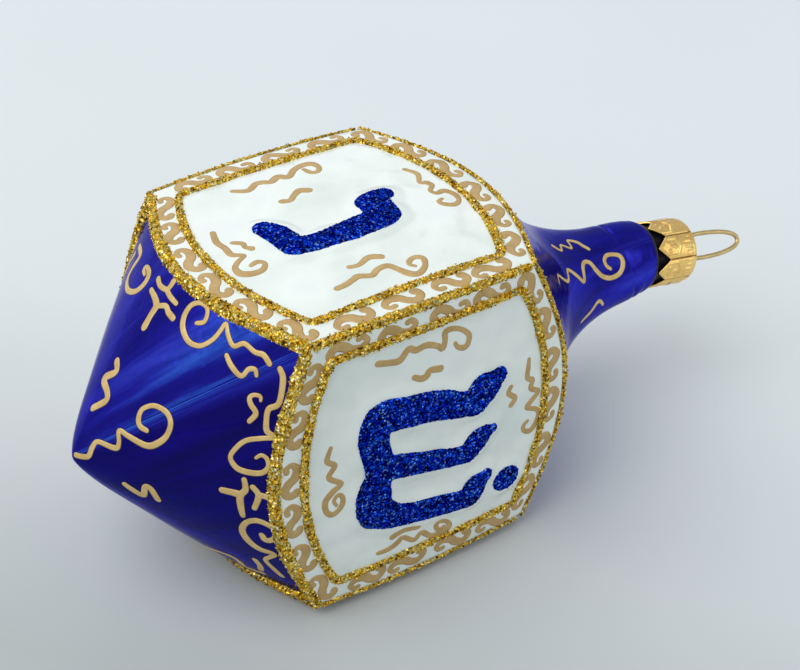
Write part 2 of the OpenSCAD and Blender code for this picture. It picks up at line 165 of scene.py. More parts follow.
def glassGap(p):
    balls, points, shoulders = [], [], []
    for turn in faceTurns.values():
        q = turned(p, -turn)
        balls.append(ballGap(q))
        points.append(flankGap(q, -1))
        shoulders.append(flankGap(q, 1))
    fromTip = p[..., 0] + glass["apexX"] - glass["tipCut"]
    tipSoft = 2 * glass["tipCut"] * sind(midSlope)  # rounds the tip off by just tipCut
    soft = tipSoft + (glass["ridgeSoft"] - tipSoft) * smoothStep(0, 9, fromTip)
    share = np.clip(fromTip / (glass["apexX"] - glass["edgeX"] - 4), 0, 1)
    swell = glass["swell"] * np.sin(math.pi * share ** glass["swellBend"])  # how far the flanks bow out
    points = [g - swell for g in points]
    whole = None
    for group, s in ((balls, glass["faceSoft"]), (points, soft), (shoulders, glass["ridgeSoft"])):
        one = smoothMax(smoothMax(group[0], group[2], s), smoothMax(group[1], group[3], s), s)
        whole = one if whole is None else smoothMax(whole, one, glass["borderSoft"])
    u = p @ neckAxes[0]
    away = np.linalg.norm(p - u[..., None] * neckAxes[0], axis=-1)
    stem = np.where(u > glass["midX"] - 2, (away - neckRadius(u)) * 0.85, 60.0)
    return -smoothMax(-whole, -stem, neck["joinSoft"])


def solve(gap, centre, ray, most):  # distance along each ray at which gap passes zero
    low, high = np.zeros(ray.shape[:-1]), np.full(ray.shape[:-1], float(most))
    for _ in range(26):
        mid = (low + high) / 2
        inside = gap(centre + ray * mid[..., None]) < 0
        low, high = np.where(inside, mid, low), np.where(inside, high, mid)
    return (low + high) / 2


# Tools that make meshes


def joined(parts):  # several (points, faces) as one
    points, faces, start = [], [], 0
    for p, f in parts:
        p = np.asarray(p, float).reshape(-1, 3)
        points.append(p)
        faces += [tuple(i + start for i in face) for face in f]
        start += len(p)
    return np.concatenate(points), faces


def addPiece(name, points, faces, body, finishes, nodes=(), smooth=True, finishOf=None):
    mesh = bpy.data.meshes.new(name)
    mesh.from_pydata(np.clip(inFrame(points), *cadBox).tolist(), [], [tuple(map(int, f)) for f in faces])
    mesh.update()
    for finish in finishes:
        mesh.materials.append(finish)
    if finishOf is not None:
        mesh.polygons.foreach_set("material_index", np.asarray(finishOf, np.int32))
    mesh.polygons.foreach_set("use_smooth", np.full(len(mesh.polygons), smooth))
    piece = bpy.data.objects.new(name, mesh)
    bpy.context.scene.collection.objects.link(piece)
    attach(piece, body)
    if nodes:
        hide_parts(*nodes)
    return piece


def gridFaces(rows, columns, start=0, closed=False, closedRows=False):
    faces = []
    for i in range(rows if closedRows else rows - 1):
        a, b = start + i * columns, start + (i + 1) % rows * columns
        for j in range(columns if closed else columns - 1):
            k = (j + 1) % columns
            faces.append((a + j, b + j, b + k, a + k))
    return faces


def shell(top, bottom):  # a closed slab between two grids of the same size
    rows, columns = top.shape[:2]
    count = rows * columns
    faces = gridFaces(rows, columns)
    faces += [tuple(reversed([i + count for i in f])) for f in gridFaces(rows, columns)]
    rim = list(range(columns))
    rim += [i * columns + columns - 1 for i in range(1, rows)]
    rim += [(rows - 1) * columns + j for j in range(columns - 2, -1, -1)]
    rim += [i * columns for i in range(rows - 2, 0, -1)]
    faces += [(a, b, b + count, a + count) for a, b in zip(rim, rim[1:] + rim[:1])]
    return np.concatenate([top.reshape(-1, 3), bottom.reshape(-1, 3)]), faces


def smoothPath(spots, steps, closed=False):  # a smooth curve through all spots, whatever they hold
    s = np.asarray(spots, float)
    count, out = len(s), []
    for i in range(count if closed else count - 1):
        a, b, c, d = ([s[(i + k) % count] for k in (-1, 0, 1, 2)] if closed
                      else [s[min(max(i + k, 0), count - 1)] for k in (-1, 0, 1, 2)])
        for t in np.arange(steps) / steps:
            out.append(b + (c - a) * t / 2 + (a * 2 - b * 5 + c * 4 - d) * t * t / 2
                       + (b * 3 - a - c * 3 + d) * t ** 3 / 2)
    if not closed:
        out.append(s[-1])
    return np.array(out)


def evenly(path, spacing, closed=False):  # the same path with its places evenly spaced
    p = np.asarray(path, float)
    if closed:
        p = np.concatenate([p, p[:1]])
    along = np.concatenate([[0], np.cumsum(np.linalg.norm(np.diff(p[:, :3], axis=0), axis=1))])
    count = max(int(round(along[-1] / spacing)), 3)
    at = np.linspace(0, along[-1], count + 1)[:count if closed else count + 1]
    return np.stack([np.interp(at, along, p[:, k]) for k in range(p.shape[1])], -1)


# Surfaces that coats lie on: each turns flat places and a lift into points


def onFace(turn):
    def place(flat, lift):
        x, y = flat[..., 0], flat[..., 1]
        z = faceCentre + np.sqrt(faceRadius ** 2 - x * x - y * y)
        p = np.stack([x, y, z], -1)
        normal = (p - (0, 0, faceCentre)) / faceRadius
        return turned(p + normal * np.asarray(lift)[..., None], turn)
    return place


def settled(points, lift):  # places near the glass, moved onto it and then lifted
    p = np.array(points, float)
    for _ in range(3):
        gap = glassGap(p)
        normal = unit(np.stack([glassGap(p + step) - gap for step in np.eye(3) * 0.02], -1))
        p = p - normal * gap[..., None]
    return p + normal * np.asarray(lift)[..., None]


def aroundGlass(spots, turn):  # (along the axis, degrees round it, width) as places on the glass
    s = np.array(spots, float)
    a = np.radians(s[:, 1] + turn)
    centre = np.stack([s[:, 0], 0 * a, -tand(neck["lean"]) * np.maximum(s[:, 0], 0)], -1)
    ray = np.stack([0 * a, np.cos(a), np.sin(a)], -1)
    return np.concatenate([centre + ray * solve(glassGap, centre, ray, 50)[:, None], s[:, 2:]], 1)


def brushLine(spots, place, broad, height, widen=0.0):
    # A brush stroke of paint with round ends. Spots are places and a width: flat places on a face,
    # or places on the glass itself
    p = evenly(smoothPath(spots, paint["stepsPerSpot"]), paint["step"])
    width = np.maximum(p[:, -1], paint["leastWidth"]) * broad + widen
    centre = p[:, :-1]
    ahead = unit(np.gradient(centre, axis=0))
    if centre.shape[1] == 2:
        side = np.stack([-ahead[:, 1], ahead[:, 0]], -1)
    else:
        ones = np.ones(len(centre))
        side = unit(np.cross(place(centre, ones) - place(centre, 0 * ones), ahead))
    first = [(0, -sind(a), cosd(a)) for a in (80, 55, 28)]
    final = [(-1, sind(a), cosd(a)) for a in (28, 55, 80)]
    rows = first + [(i, 0, 1) for i in range(len(p))] + final
    index = np.array([r[0] for r in rows])
    centre = centre[index] + ahead[index] * (width[index] / 2 * [r[1] for r in rows])[:, None]
    w, side = width[index] * [r[2] for r in rows], side[index]
    columns = []
    for across, up in ((1, -1), (1, 0.5), (0.7, 0.9), (0, 1), (-0.7, 0.9), (-1, 0.5), (-1, -1)):
        lift = np.full(len(w), -paint["sink"] if up < 0 else up * height)
        columns.append(place(centre + side * (across * w / 2)[:, None], lift))
    points = np.stack(columns, 1)
    count, ring = points.shape[:2]
    faces = gridFaces(count, ring, closed=True)
    faces += [tuple(range(ring)), tuple(reversed(range((count - 1) * ring, count * ring)))]
    return points.reshape(-1, 3), [tuple(reversed(f)) for f in faces]


def flakes(points, normals, flake, dice):
    # Chips of glitter: thin faceted double pyramids lying at all angles
    count = len(points)
    normal = unit(normals + dice.normal(0, flake["tilt"], (count, 3)))
    one = unit(np.cross(normal, unit(dice.normal(0, 1, (count, 3)))))
    two = np.cross(normal, one)
    r = (flake["size"] * dice.uniform(0.35, 0.62, count))[:, None]
    corners = [points + one * r, points + two * r * 0.9, points - one * r * 0.95, points - two * r,
               points + normal * flake["thick"], points - normal * flake["thick"]]
    stacked = np.stack(corners, 1).reshape(-1, 3)
    faces = []
    for i in range(count):
        k = 6 * i
        for j in range(4):
            a, b = k + j, k + (j + 1) % 4
            faces += [(a, b, k + 4), (b, a, k + 5)]
    return stacked, faces


def glitterRope(ridge, sides, normals, reaches, closed, dice, ground=None):
    # A bead of glue and glitter along a path, over a fold or on a flat: sides, normals and reaches
    # are those of the two surfaces that meet at the ridge
    count = len(ridge)
    across = np.array([-1, -0.86, -0.64, -0.36, -0.12, 0.12, 0.36, 0.64, 0.86, 1])
    swellCount = max(count // 9, 4)
    swell = np.interp(np.arange(count), np.linspace(0, count, swellCount),
                      dice.uniform(0.84, 1.12, swellCount))
    swell[-1] = swell[0] if closed else swell[-1]
    ahead = np.roll(ridge, -1, 0) - np.roll(ridge, 1, 0) if closed else np.gradient(ridge, axis=0)
    ahead = unit(ahead)
    columns, outs = [], []
    for s in across:
        side, wide = (sides[0], reaches[0]) if s < 0 else (sides[1], reaches[1])
        mix = (s + 1) / 2
        normal = unit(normals[0] * (1 - mix) + normals[1] * mix)
        reach = (abs(s) * wide * swell)[:, None]
        off = (s * wide - (reaches[1] - reaches[0]) / 2) / (sum(reaches) / 2)
        lift = bead["height"] * max(1 - off * off, 0) ** 0.5 * np.minimum(swell, 1) * 0.8
        rough = 0.2 * bead["height"] if abs(s) < 1 else 0.0
        p = ridge + side * reach + normal * (lift + dice.uniform(-rough, rough, count))[:, None]
        p = p + (side + ahead * 0.8) * dice.uniform(-0.11, 0.11, (count, 1))
        p = p - normal * (0.05 if abs(s) == 1 else 0)
        columns.append(ground(p, np.full(count, -0.05)) if ground and abs(s) == 1 else p)
        outs.append(normal)
    top, topNormals = np.stack(columns, 1), np.stack(outs, 1)
    low = [ridge + sides[k] * reaches[k] * 0.84 - normals[k] * bead["sink"] for k in (1, 0)]
    if ground:  # the glass falls away a little at its softened corners, and the glue fills that
        low = [ground(p, np.full(count, -bead["sink"])) for p in low]
    points = np.concatenate([top, np.stack(low, 1)], 1)
    ring = points.shape[1]
    quads = gridFaces(count, ring, closed=True, closedRows=closed)
    faces = []
    for i, (a, b, c, d) in enumerate(quads):
        faces += [(a, b, c), (a, c, d)] if dice.random() < 0.5 else [(a, b, d), (b, c, d)]
    if not closed:
        faces += [tuple(reversed(range(ring))), tuple(range((count - 1) * ring, count * ring))]
    length = np.linalg.norm(np.diff(ridge, axis=0), axis=1).sum()
    number = int(length * sum(reaches) * bead["flakesPerArea"])
    pick, column = dice.integers(0, count, number), dice.integers(1, len(across) - 1, number)
    spots = top[pick, column] + topNormals[pick, column] * 0.03 + dice.normal(0, 0.07, (number, 3))
    chips = flakes(spots, topNormals[pick, column], bead["flake"], dice)
    return joined([(points.reshape(-1, 3), [tuple(reversed(f)) for f in faces]), chips])


# Finishes


class Finish:
    # A node material with short ways to add and link its nodes
    def __init__(self, name):
        self.material = bpy.data.materials.new(name)
        self.material.use_nodes = True
        self.tree = self.material.node_tree
        self.shader = self.tree.nodes["Principled BSDF"]

    def add(self, kind, inputs=None, **settings):
        made = self.tree.nodes.new(kind)
        for key, value in settings.items():
            setattr(made, key, value)
        for key, value in (inputs or {}).items():
            if isinstance(value, bpy.types.NodeSocket):
                self.tree.links.new(value, made.inputs[key])
            else:
                made.inputs[key].default_value = value
        return made

    def give(self, **inputs):
        for key, value in inputs.items():
            name = {"color": "Base Color", "metal": "Metallic", "rough": "Roughness", "normal": "Normal",
                    "coat": "Coat Weight", "coatRough": "Coat Roughness", "specular": "Specular IOR Level",
                    "tint": "Specular Tint"}[key]
            if isinstance(value, bpy.types.NodeSocket):
                self.tree.links.new(value, self.shader.inputs[name])
            else:
                self.shader.inputs[name].default_value = value

    def place(self):  # the piece's own place, in millimetres
        where = self.add("ShaderNodeTexCoord").outputs["Object"]
        return self.add("ShaderNodeVectorMath", {0: where, "Scale": 1000.0}, operation="SCALE").outputs[0]

    def noise(self, vector, scale, detail=2.0, rough=0.5, distort=0.0):
        return self.add("ShaderNodeTexNoise", {"Vector": vector, "Scale": scale, "Detail": detail,
                                               "Roughness": rough, "Distortion": distort}).outputs["Fac"]

    def ramp(self, value, stops):
        made = self.add("ShaderNodeValToRGB", {"Fac": value})
        elements = made.color_ramp.elements
        while len(elements) < len(stops):
            elements.new(0.5)
        for element, (at, colour) in zip(elements, stops):
            element.position = at
            element.color = (*colour, 1)
        return made.outputs["Color"]

    def span(self, value, low, high, fromLow=0.0, fromHigh=1.0):
        return self.add("ShaderNodeMapRange", {"Value": value, "From Min": fromLow, "From Max": fromHigh,
                                               "To Min": low, "To Max": high}).outputs["Result"]

    def mix(self, factor, a, b):
        made = self.tree.nodes.new("ShaderNodeMix")
        made.data_type = "RGBA"
        for key, value in ((0, factor), (6, a), (7, b)):
            if isinstance(value, bpy.types.NodeSocket):
                self.tree.links.new(value, made.inputs[key])
            else:
                made.inputs[key].default_value = (*value, 1) if key > 0 else value
        return made.outputs[2]

    def bump(self, height, strength, distance=0.0001, normal=None):
        inputs = {"Height": height, "Strength": strength, "Distance": distance}
        if normal:
            inputs["Normal"] = normal
        return self.add("ShaderNodeBump", inputs).outputs["Normal"]


def srgb(r, g, b):  # a colour as seen on screen, 0 to 255, as the linear one that nodes take
    shares = (r / 255, g / 255, b / 255)
    return tuple(v / 12.92 if v <= 0.04045 else ((v + 0.055) / 1.055) ** 2.4 for v in shares)


def blueLacquer():
    # Each place has three shares of painted light: painted shade that deepens the blue (with a deeper blue on the
    # neck), a painted violet sheen, and a painted light-blue reflection streak
    f = Finish("blueLacquer")
    where = f.place()
    brush = f.add("ShaderNodeAttribute", attribute_name="brushPlace").outputs["Vector"]
    paintedShadeAndSheen = f.add("ShaderNodeAttribute", attribute_name="paintedShadeAndSheen").outputs["Vector"]
    paintedShadeAndSheen = f.add("ShaderNodeSeparateXYZ", {0: paintedShadeAndSheen})
    streak = f.noise(brush, 1.0, detail=5, rough=0.6, distort=0.4)
    fine = f.noise(brush, 4.0, detail=4, rough=0.6)
    thin = f.ramp(streak, [(0.3, srgb(18, 12, 128)), (0.5, srgb(30, 28, 175)), (0.7, srgb(60, 74, 225))])
    # the second ramp is the dark blue that the painted shade brings
    thick = f.ramp(streak, [(0.3, srgb(7, 0, 92)), (0.6, srgb(14, 2, 132)), (0.8, srgb(26, 14, 165))])
    shade = f.mix(paintedShadeAndSheen.outputs[0], thin, thick)
    # a painted violet sheen
    violetSheen = f.ramp(streak, [(0.3, srgb(66, 62, 150)), (0.7, srgb(100, 98, 190))])
    shade = f.mix(paintedShadeAndSheen.outputs[1], shade, violetSheen)
    # a painted light-blue reflection streak along the ridge of the point
    ridgeGlintShare = f.add("ShaderNodeMath", {0: paintedShadeAndSheen.outputs[2], 1: f.span(streak, 0.0, 1.0, 0.42, 0.62)},
                   operation="MULTIPLY").outputs[0]
    shade = f.mix(ridgeGlintShare, shade, srgb(60, 130, 255))
    f.give(color=shade, metal=0.95, rough=f.span(fine, 0.12, 0.3, 0.3, 0.7), coat=0.2, coatRough=0.05,
           tint=(*srgb(130, 120, 205), 1))
    f.give(normal=f.bump(fine, 0.08, 0.0002, f.bump(f.noise(where, 0.14, detail=3), 0.3, 0.001)))
    return f.material


def silvering():
    f = Finish("silvering")
    spots = f.noise(f.place(), 0.9, detail=4)
    f.give(color=f.ramp(spots, [(0.3, srgb(150, 150, 155)), (0.7, srgb(225, 225, 228))]), metal=1.0,
           rough=f.span(spots, 0.15, 0.4))
    return f.material


def whiteEnamel():
    f = Finish("whiteEnamel")
    where = f.place()
    broad, fine = f.noise(where, 0.09, detail=3), f.noise(where, 1.6, detail=3)
    shade = f.ramp(broad, [(0.3, srgb(216, 226, 220)), (0.55, srgb(230, 238, 232)),
                           (0.75, srgb(226, 232, 232))])
    f.give(color=shade, rough=f.span(fine, 0.10, 0.2, 0.3, 0.7), coat=0.35, coatRough=0.05)
    f.give(normal=f.bump(fine, 0.12, 0.00005, f.bump(f.noise(where, 0.3, detail=2), 0.35, 0.0003)))
    return f.material


def goldPaint(name, dark, light, metal):
    f = Finish(name)
    where = f.place()
    pool, speck = f.noise(where, 0.5, detail=3), f.noise(where, 9.0, detail=2)
    shade = f.ramp(pool, [(0.3, dark), (0.7, light)])
    f.give(color=f.mix(f.span(speck, 0.0, 0.25, 0.45, 0.7), shade, srgb(246, 220, 160)), metal=metal,
           rough=f.span(speck, 0.32, 0.5, 0.3, 0.7), specular=0.4)
    f.give(normal=f.bump(speck, 0.2, 0.00004))
    return f.material


def paintOutline():
    # Painted shade: a dark band laid round the raised gold strokes on the blue, for the shade at their edges
    f = Finish("paintOutline")
    speck = f.noise(f.place(), 3.0, detail=2)
    f.give(color=f.ramp(speck, [(0.3, srgb(40, 28, 40)), (0.7, srgb(96, 70, 48))]), metal=0.3, rough=0.45)
    return f.material


def glitter(name, cell, stops, metal, rough, tilt, clumps):
    # Each cell is one flake, with its own colour and its own way of facing
    f = Finish(name)
    where = f.place()
    cells = f.add("ShaderNodeTexVoronoi", {"Vector": where, "Scale": 1 / cell, "Randomness": 1.0})
    own = cells.outputs["Color"]
    chance = f.add("ShaderNodeSeparateColor", {"Color": own}).outputs[0]
    edge = f.span(cells.outputs["Distance"], 1.0, 0.55, 0.35, 0.75)
    shade = f.mix(edge, tuple(c * 0.35 for c in stops[0][1]), f.ramp(chance, stops))
    dark = f.span(f.noise(where, 0.9, detail=2), clumps, 0.0, 0.38, 0.55)  # where the glue shows
    shade = f.mix(dark, shade, tuple(c * 0.2 for c in stops[0][1]))
    f.give(color=shade, metal=metal, rough=f.span(chance, *rough), specular=0.08, tint=(*stops[-2][1], 1))
    spread = f.add("ShaderNodeVectorMath", {0: own, 1: (0.5, 0.5, 0.5)}, operation="SUBTRACT").outputs[0]
    spread = f.add("ShaderNodeVectorMath", {0: spread, "Scale": tilt}, operation="SCALE").outputs[0]
    facing = f.add("ShaderNodeNewGeometry").outputs["Normal"]
    tipped = f.add("ShaderNodeVectorMath", {0: facing, 1: spread}, operation="ADD").outputs[0]
    f.give(normal=f.add("ShaderNodeVectorMath", {0: tipped}, operation="NORMALIZE").outputs[0])
    return f.material


def darkLacquer():
    f = Finish("darkLacquer")
    speck = f.noise(f.place(), 2.0, detail=3)
    f.give(color=f.ramp(speck, [(0.3, srgb(6, 5, 10)), (0.8, srgb(22, 20, 34))]),
           rough=f.span(speck, 0.25, 0.5), coat=0.2)
    f.give(normal=f.bump(speck, 0.3, 0.0001))
    return f.material


def stampedGold():
    f = Finish("stampedGold")
    where = f.place()
    grain, broad = f.noise(where, 7.0, detail=3), f.noise(where, 0.5, detail=2)
    foldShade = f.add("ShaderNodeAttribute", attribute_name="foldShade").outputs["Fac"]
    sheet = f.mix(0.5, f.ramp(broad, [(0.3, srgb(248, 186, 96)), (0.7, srgb(255, 222, 136))]),
                  f.ramp(grain, [(0.3, srgb(244, 182, 92)), (0.7, srgb(255, 236, 160))]))
    # the sheet is darkened to brown by painted shade in its folds and hollows
    f.give(color=f.mix(foldShade, sheet, srgb(96, 44, 8)), metal=1.0, rough=f.span(grain, 0.2, 0.36, 0.3, 0.7))
    f.give(normal=f.bump(grain, 0.2, 0.00004, f.bump(broad, 0.3, 0.0003)))
    return f.material


def drawnBrass():
    f = Finish("drawnBrass")
    where = f.place()
    drawn = f.add("ShaderNodeVectorMath", {0: where, 1: (0.25, 6.0, 6.0)}, operation="MULTIPLY").outputs[0]
    lines = f.noise(drawn, 1.0, detail=4)
    dull = f.noise(where, 0.7, detail=3)
    f.give(color=f.mix(0.5, f.ramp(lines, [(0.3, srgb(190, 160, 102)), (0.7, srgb(230, 208, 152))]),
                       f.ramp(dull, [(0.3, srgb(172, 148, 94)), (0.7, srgb(226, 204, 148))])),
           metal=1.0, rough=f.span(dull, 0.28, 0.45, 0.3, 0.7))
    f.give(normal=f.bump(lines, 0.3, 0.00005))
    return f.material


finishes = {
    "blue": blueLacquer(), "silver": silvering(), "white": whiteEnamel(), "outline": paintOutline(),
    "paint": goldPaint("goldPaint", srgb(172, 140, 84), srgb(192, 160, 104), 0.2),
    "bluePaint": goldPaint("goldPaintOnBlue", srgb(200, 166, 100), srgb(224, 194, 130), 0.3),
    "gold": glitter("goldGlitter", 0.34, [(0.0, srgb(92, 60, 4)), (0.2, srgb(226, 166, 34)),
                                          (0.5, srgb(255, 212, 80)), (0.8, srgb(255, 236, 122)),
                                          (0.95, srgb(255, 252, 205))],
                    metal=0.72, rough=(0.1, 0.32), tilt=1.1, clumps=0.3),
    "blueGlitter": glitter("blueGlitter", 0.26, [(0.0, srgb(0, 0, 30)), (0.3, srgb(2, 10, 116)),
                                                 (0.6, srgb(6, 48, 222)), (0.86, srgb(30, 112, 255)),
                                                 (0.97, srgb(140, 190, 255))],
                           metal=0.9, rough=(0.2, 0.42), tilt=0.65, clumps=0.6),
    "dark": darkLacquer(), "cap": stampedGold(), "wire": drawnBrass(),
}
print("finishes made:", len(finishes))

# The camera stands where the photograph was taken from
camera = {"target": (-0.007595, 0, 0.0269), "azimuth": -33.095, "elevation": 35.815, "roll": 0.189,
          "distance": 0.2755, "lens": 75.83}
back = Vector((sind(camera["azimuth"]) * cosd(camera["elevation"]),
               -cosd(camera["azimuth"]) * cosd(camera["elevation"]), sind(camera["elevation"])))
right = Vector((0, 0, 1)).cross(back).normalized()
upward = back.cross(right)
rolledRight = right * cosd(camera["roll"]) + upward * sind(camera["roll"])
rolledUp = upward * cosd(camera["roll"]) - right * sind(camera["roll"])
eye = bpy.data.objects.new("camera", bpy.data.cameras.new("camera"))
eye.data.lens, eye.data.sensor_width, eye.data.clip_start = camera["lens"], 36, 0.01
eye.matrix_world = Matrix.Translation(Vector(camera["target"]) + back * camera["distance"]) @ Matrix(
    (rolledRight, rolledUp, back)).transposed().to_4x4()
bpy.context.scene.collection.objects.link(eye)
bpy.context.scene.camera = eye

# The blown glass
dice = np.random.default_rng(5)
crumple = {"at": 54.2, "slant": 2.0, "angle": 110, "deep": 0.2, "broad": 0.4}  # where the neck was bent


def glassRings():
    # Rings of points from the tip to the mouth, down inside it and back to the inside of the tip
    t = np.arange(glass["columns"]) / glass["columns"] * 2 * math.pi
    t = t + 0.72 / 4 * np.sin(4 * t)  # closer together at the four ridges
    across = np.stack([np.zeros_like(t), np.cos(t), np.sin(t)], -1)

    def cut(x, inset):
        centre = np.stack([x, np.zeros_like(x), -tand(neck["lean"]) * np.maximum(x, 0)], -1)[:, None, :]
        ray = np.broadcast_to(across, (len(x), *across.shape))
        return centre + ray * solve(lambda p: glassGap(p) + inset, centre, ray, 50)[..., None]

    def tipAt(inset):
        ray = np.array([[-1.0, 0, 0]])
        return -solve(lambda p: glassGap(p) + inset, np.zeros((1, 3)), ray, 60)[0]

    def lean(axes, origin, u, r):
        out = np.cos(t)[:, None] * axes[1] + np.sin(t)[:, None] * axes[2]
        return np.array([origin + axes[0] * a + out * b for a, b in zip(u, r)])

    tip, wall = tipAt(0), glass["wall"]
    outerX = np.concatenate([tip + (-27 - tip) * (np.arange(1, 62) / 61) ** 2, np.arange(-26.2, -17, 0.8),
                             np.linspace(-16, 16, 10), np.arange(17, 27, 0.8), np.arange(27.4, 50, 0.5)])
    rings = [cut(outerX, 0)]
    # from the neck into the leaning mouth: the rings turn little by little, past a shallow crease
    bend, start = neck["bendX"], neck["rimU"] - neck["rimRound"]
    for u in np.concatenate([np.arange(50.6, 53.4, 0.6), np.arange(53.5, bend + start, 0.16)]):
        turn = smoothStep(bend - 2.2, bend + start - 0.1, u)
        axes = [unit(a * (1 - turn) + b * turn) for a, b in zip(neckAxes, mouthAxes)]
        middle = neckAxes[0] * u if u < bend else bendPoint + mouthAxes[0] * (u - bend)
        r = neck["bendRadius"] + (bend - u) * tand(neck["taper"]) if u > bend else neckRadius(np.array(u))
        creaseU = crumple["at"] + crumple["slant"] * (1 - np.cos(t - math.radians(crumple["angle"])))
        crease = np.exp(-((u - creaseU) / crumple["broad"]) ** 2)
        r = r - neck["step"] * smoothStep(bend - 2, bend + 1, u) - crumple["deep"] * crease
        out = np.cos(t)[:, None] * axes[1] + np.sin(t)[:, None] * axes[2]
        rings.append((middle + out * np.reshape(r, (-1, 1)))[None])
    corner = rimRadius - neck["rimRound"]
    a = np.linspace(5, 90, 12)
    rings.append(lean(mouthAxes, bendPoint, start + neck["rimRound"] * np.sin(np.radians(a)),
                      corner + neck["rimRound"] * np.cos(np.radians(a))))
    stub, end, rim = neck["mouthRadius"], neck["mouthU"], neck["rimU"]
    rings.append(lean(mouthAxes, bendPoint, [rim + 0.05, rim + 0.5, end - 0.35, end - 0.1, end],
                      [stub, stub, stub, stub - 0.1, stub - 0.35]))
    rings.append(lean(mouthAxes, bendPoint,
                      [end, end - 0.1, end - 0.35, rim + 0.4, rim - 0.8, rim - 1.1, rim - 1.8, 0.6],
                      [stub - wall + 0.35, stub - wall + 0.1, stub - wall, stub - wall, stub - wall + 0.3,
                       corner, rimRadius - wall - 0.2, bentRadius - wall - 0.15]))
    outerCount = sum(len(r) for r in rings) - 4
    innerU = np.array([57.5, 55, 52])
    rings.append(lean(neckAxes, 0, innerU, neckRadius(innerU) - wall))
    innerTip = tipAt(wall)
    innerX = np.concatenate([np.arange(49.5, 27, -1.5), np.arange(26.5, 16, -1.5), np.linspace(14, -14, 8),
                             np.arange(-16, -27, -1.5),
                             innerTip + (-27.5 - innerTip) * (np.arange(24, 0, -1) / 24) ** 2])
    rings.append(cut(innerX, wall))
    return np.concatenate(rings), tip, innerTip, outerCount


rings, tip, innerTip, outerCount = glassRings()
ringCount, columns = rings.shape[:2]
points = np.concatenate([rings.reshape(-1, 3), [[tip, 0, 0], [innerTip, 0, 0]]])
faces = gridFaces(ringCount, columns, closed=True)
finishOf = [0 if i // columns < outerCount else 1 for i in range(len(faces))]
faces = [tuple(reversed(f)) for f in faces]
last = (ringCount - 1) * columns
faces += [((j + 1) % columns, j, ringCount * columns) for j in range(columns)]
faces += [(last + j, last + (j + 1) % columns, ringCount * columns + 1) for j in range(columns)]
finishOf += [0] * columns + [1] * columns
glassPiece = addPiece("blownGlass", points, faces, "ornament",
                      [finishes["blue"], finishes["silver"]], ["glass_body"], finishOf=finishOf)
brush = glassPiece.data.attributes.new("brushPlace", "FLOAT_VECTOR", "POINT")
fromApex = points[:, 0] + glass["apexX"]
upward = smoothStep(-1, 1, np.abs(points[:, 2]) - np.abs(points[:, 1]))  # 1 on the nun and hei sides
drawn = np.where(points[:, 0] < 0, fromApex * 0.8, 0)  # brushed along the ridges of the point
across = upward * (points[:, 1] + drawn) + (1 - upward) * (points[:, 2] - drawn + 60)
brush.data.foreach_set("vector", np.stack([fromApex * 0.03, across * 0.22, upward * 5], -1).ravel())
paintedShadeAndSheen = glassPiece.data.attributes.new("paintedShadeAndSheen", "FLOAT_VECTOR", "POINT")
around = np.degrees(np.arctan2(points[:, 2], points[:, 1])) % 180  # the underside is painted as the top
onPoint = 1 - smoothStep(-24, -18, points[:, 0])
# painted shade on the point's flanks towards the shin and gimel faces, and a deeper blue on the neck
deepAndShaded = ((smoothStep(134, 142, around) + 1 - smoothStep(36, 44, around)) * onPoint
           + 0.35 * smoothStep(24, 44, points[:, 0]))
# a painted violet sheen beside the nun–gimel ridge of the point and its match below, and on the neck's root
violetSheen = ((1 - smoothStep(50, 92, around)) * smoothStep(40, 48, around) * onPoint * 0.8
          + smoothStep(18, 24, points[:, 0]) * (1 - smoothStep(30, 44, points[:, 0])) * 0.45)
# a painted light reflection streak along the nun–shin ridge of the point and its match below
ridgeGlint = (np.exp(-((around - 132.5) / 2.5) ** 2) + 0.6 * np.exp(-((around - 122) / 7) ** 2)) * onPoint
paintedShadeAndSheen.data.foreach_set("vector", np.stack([deepAndShaded, violetSheen, ridgeGlint], -1).ravel())
print("glass blown:", len(faces), "faces")

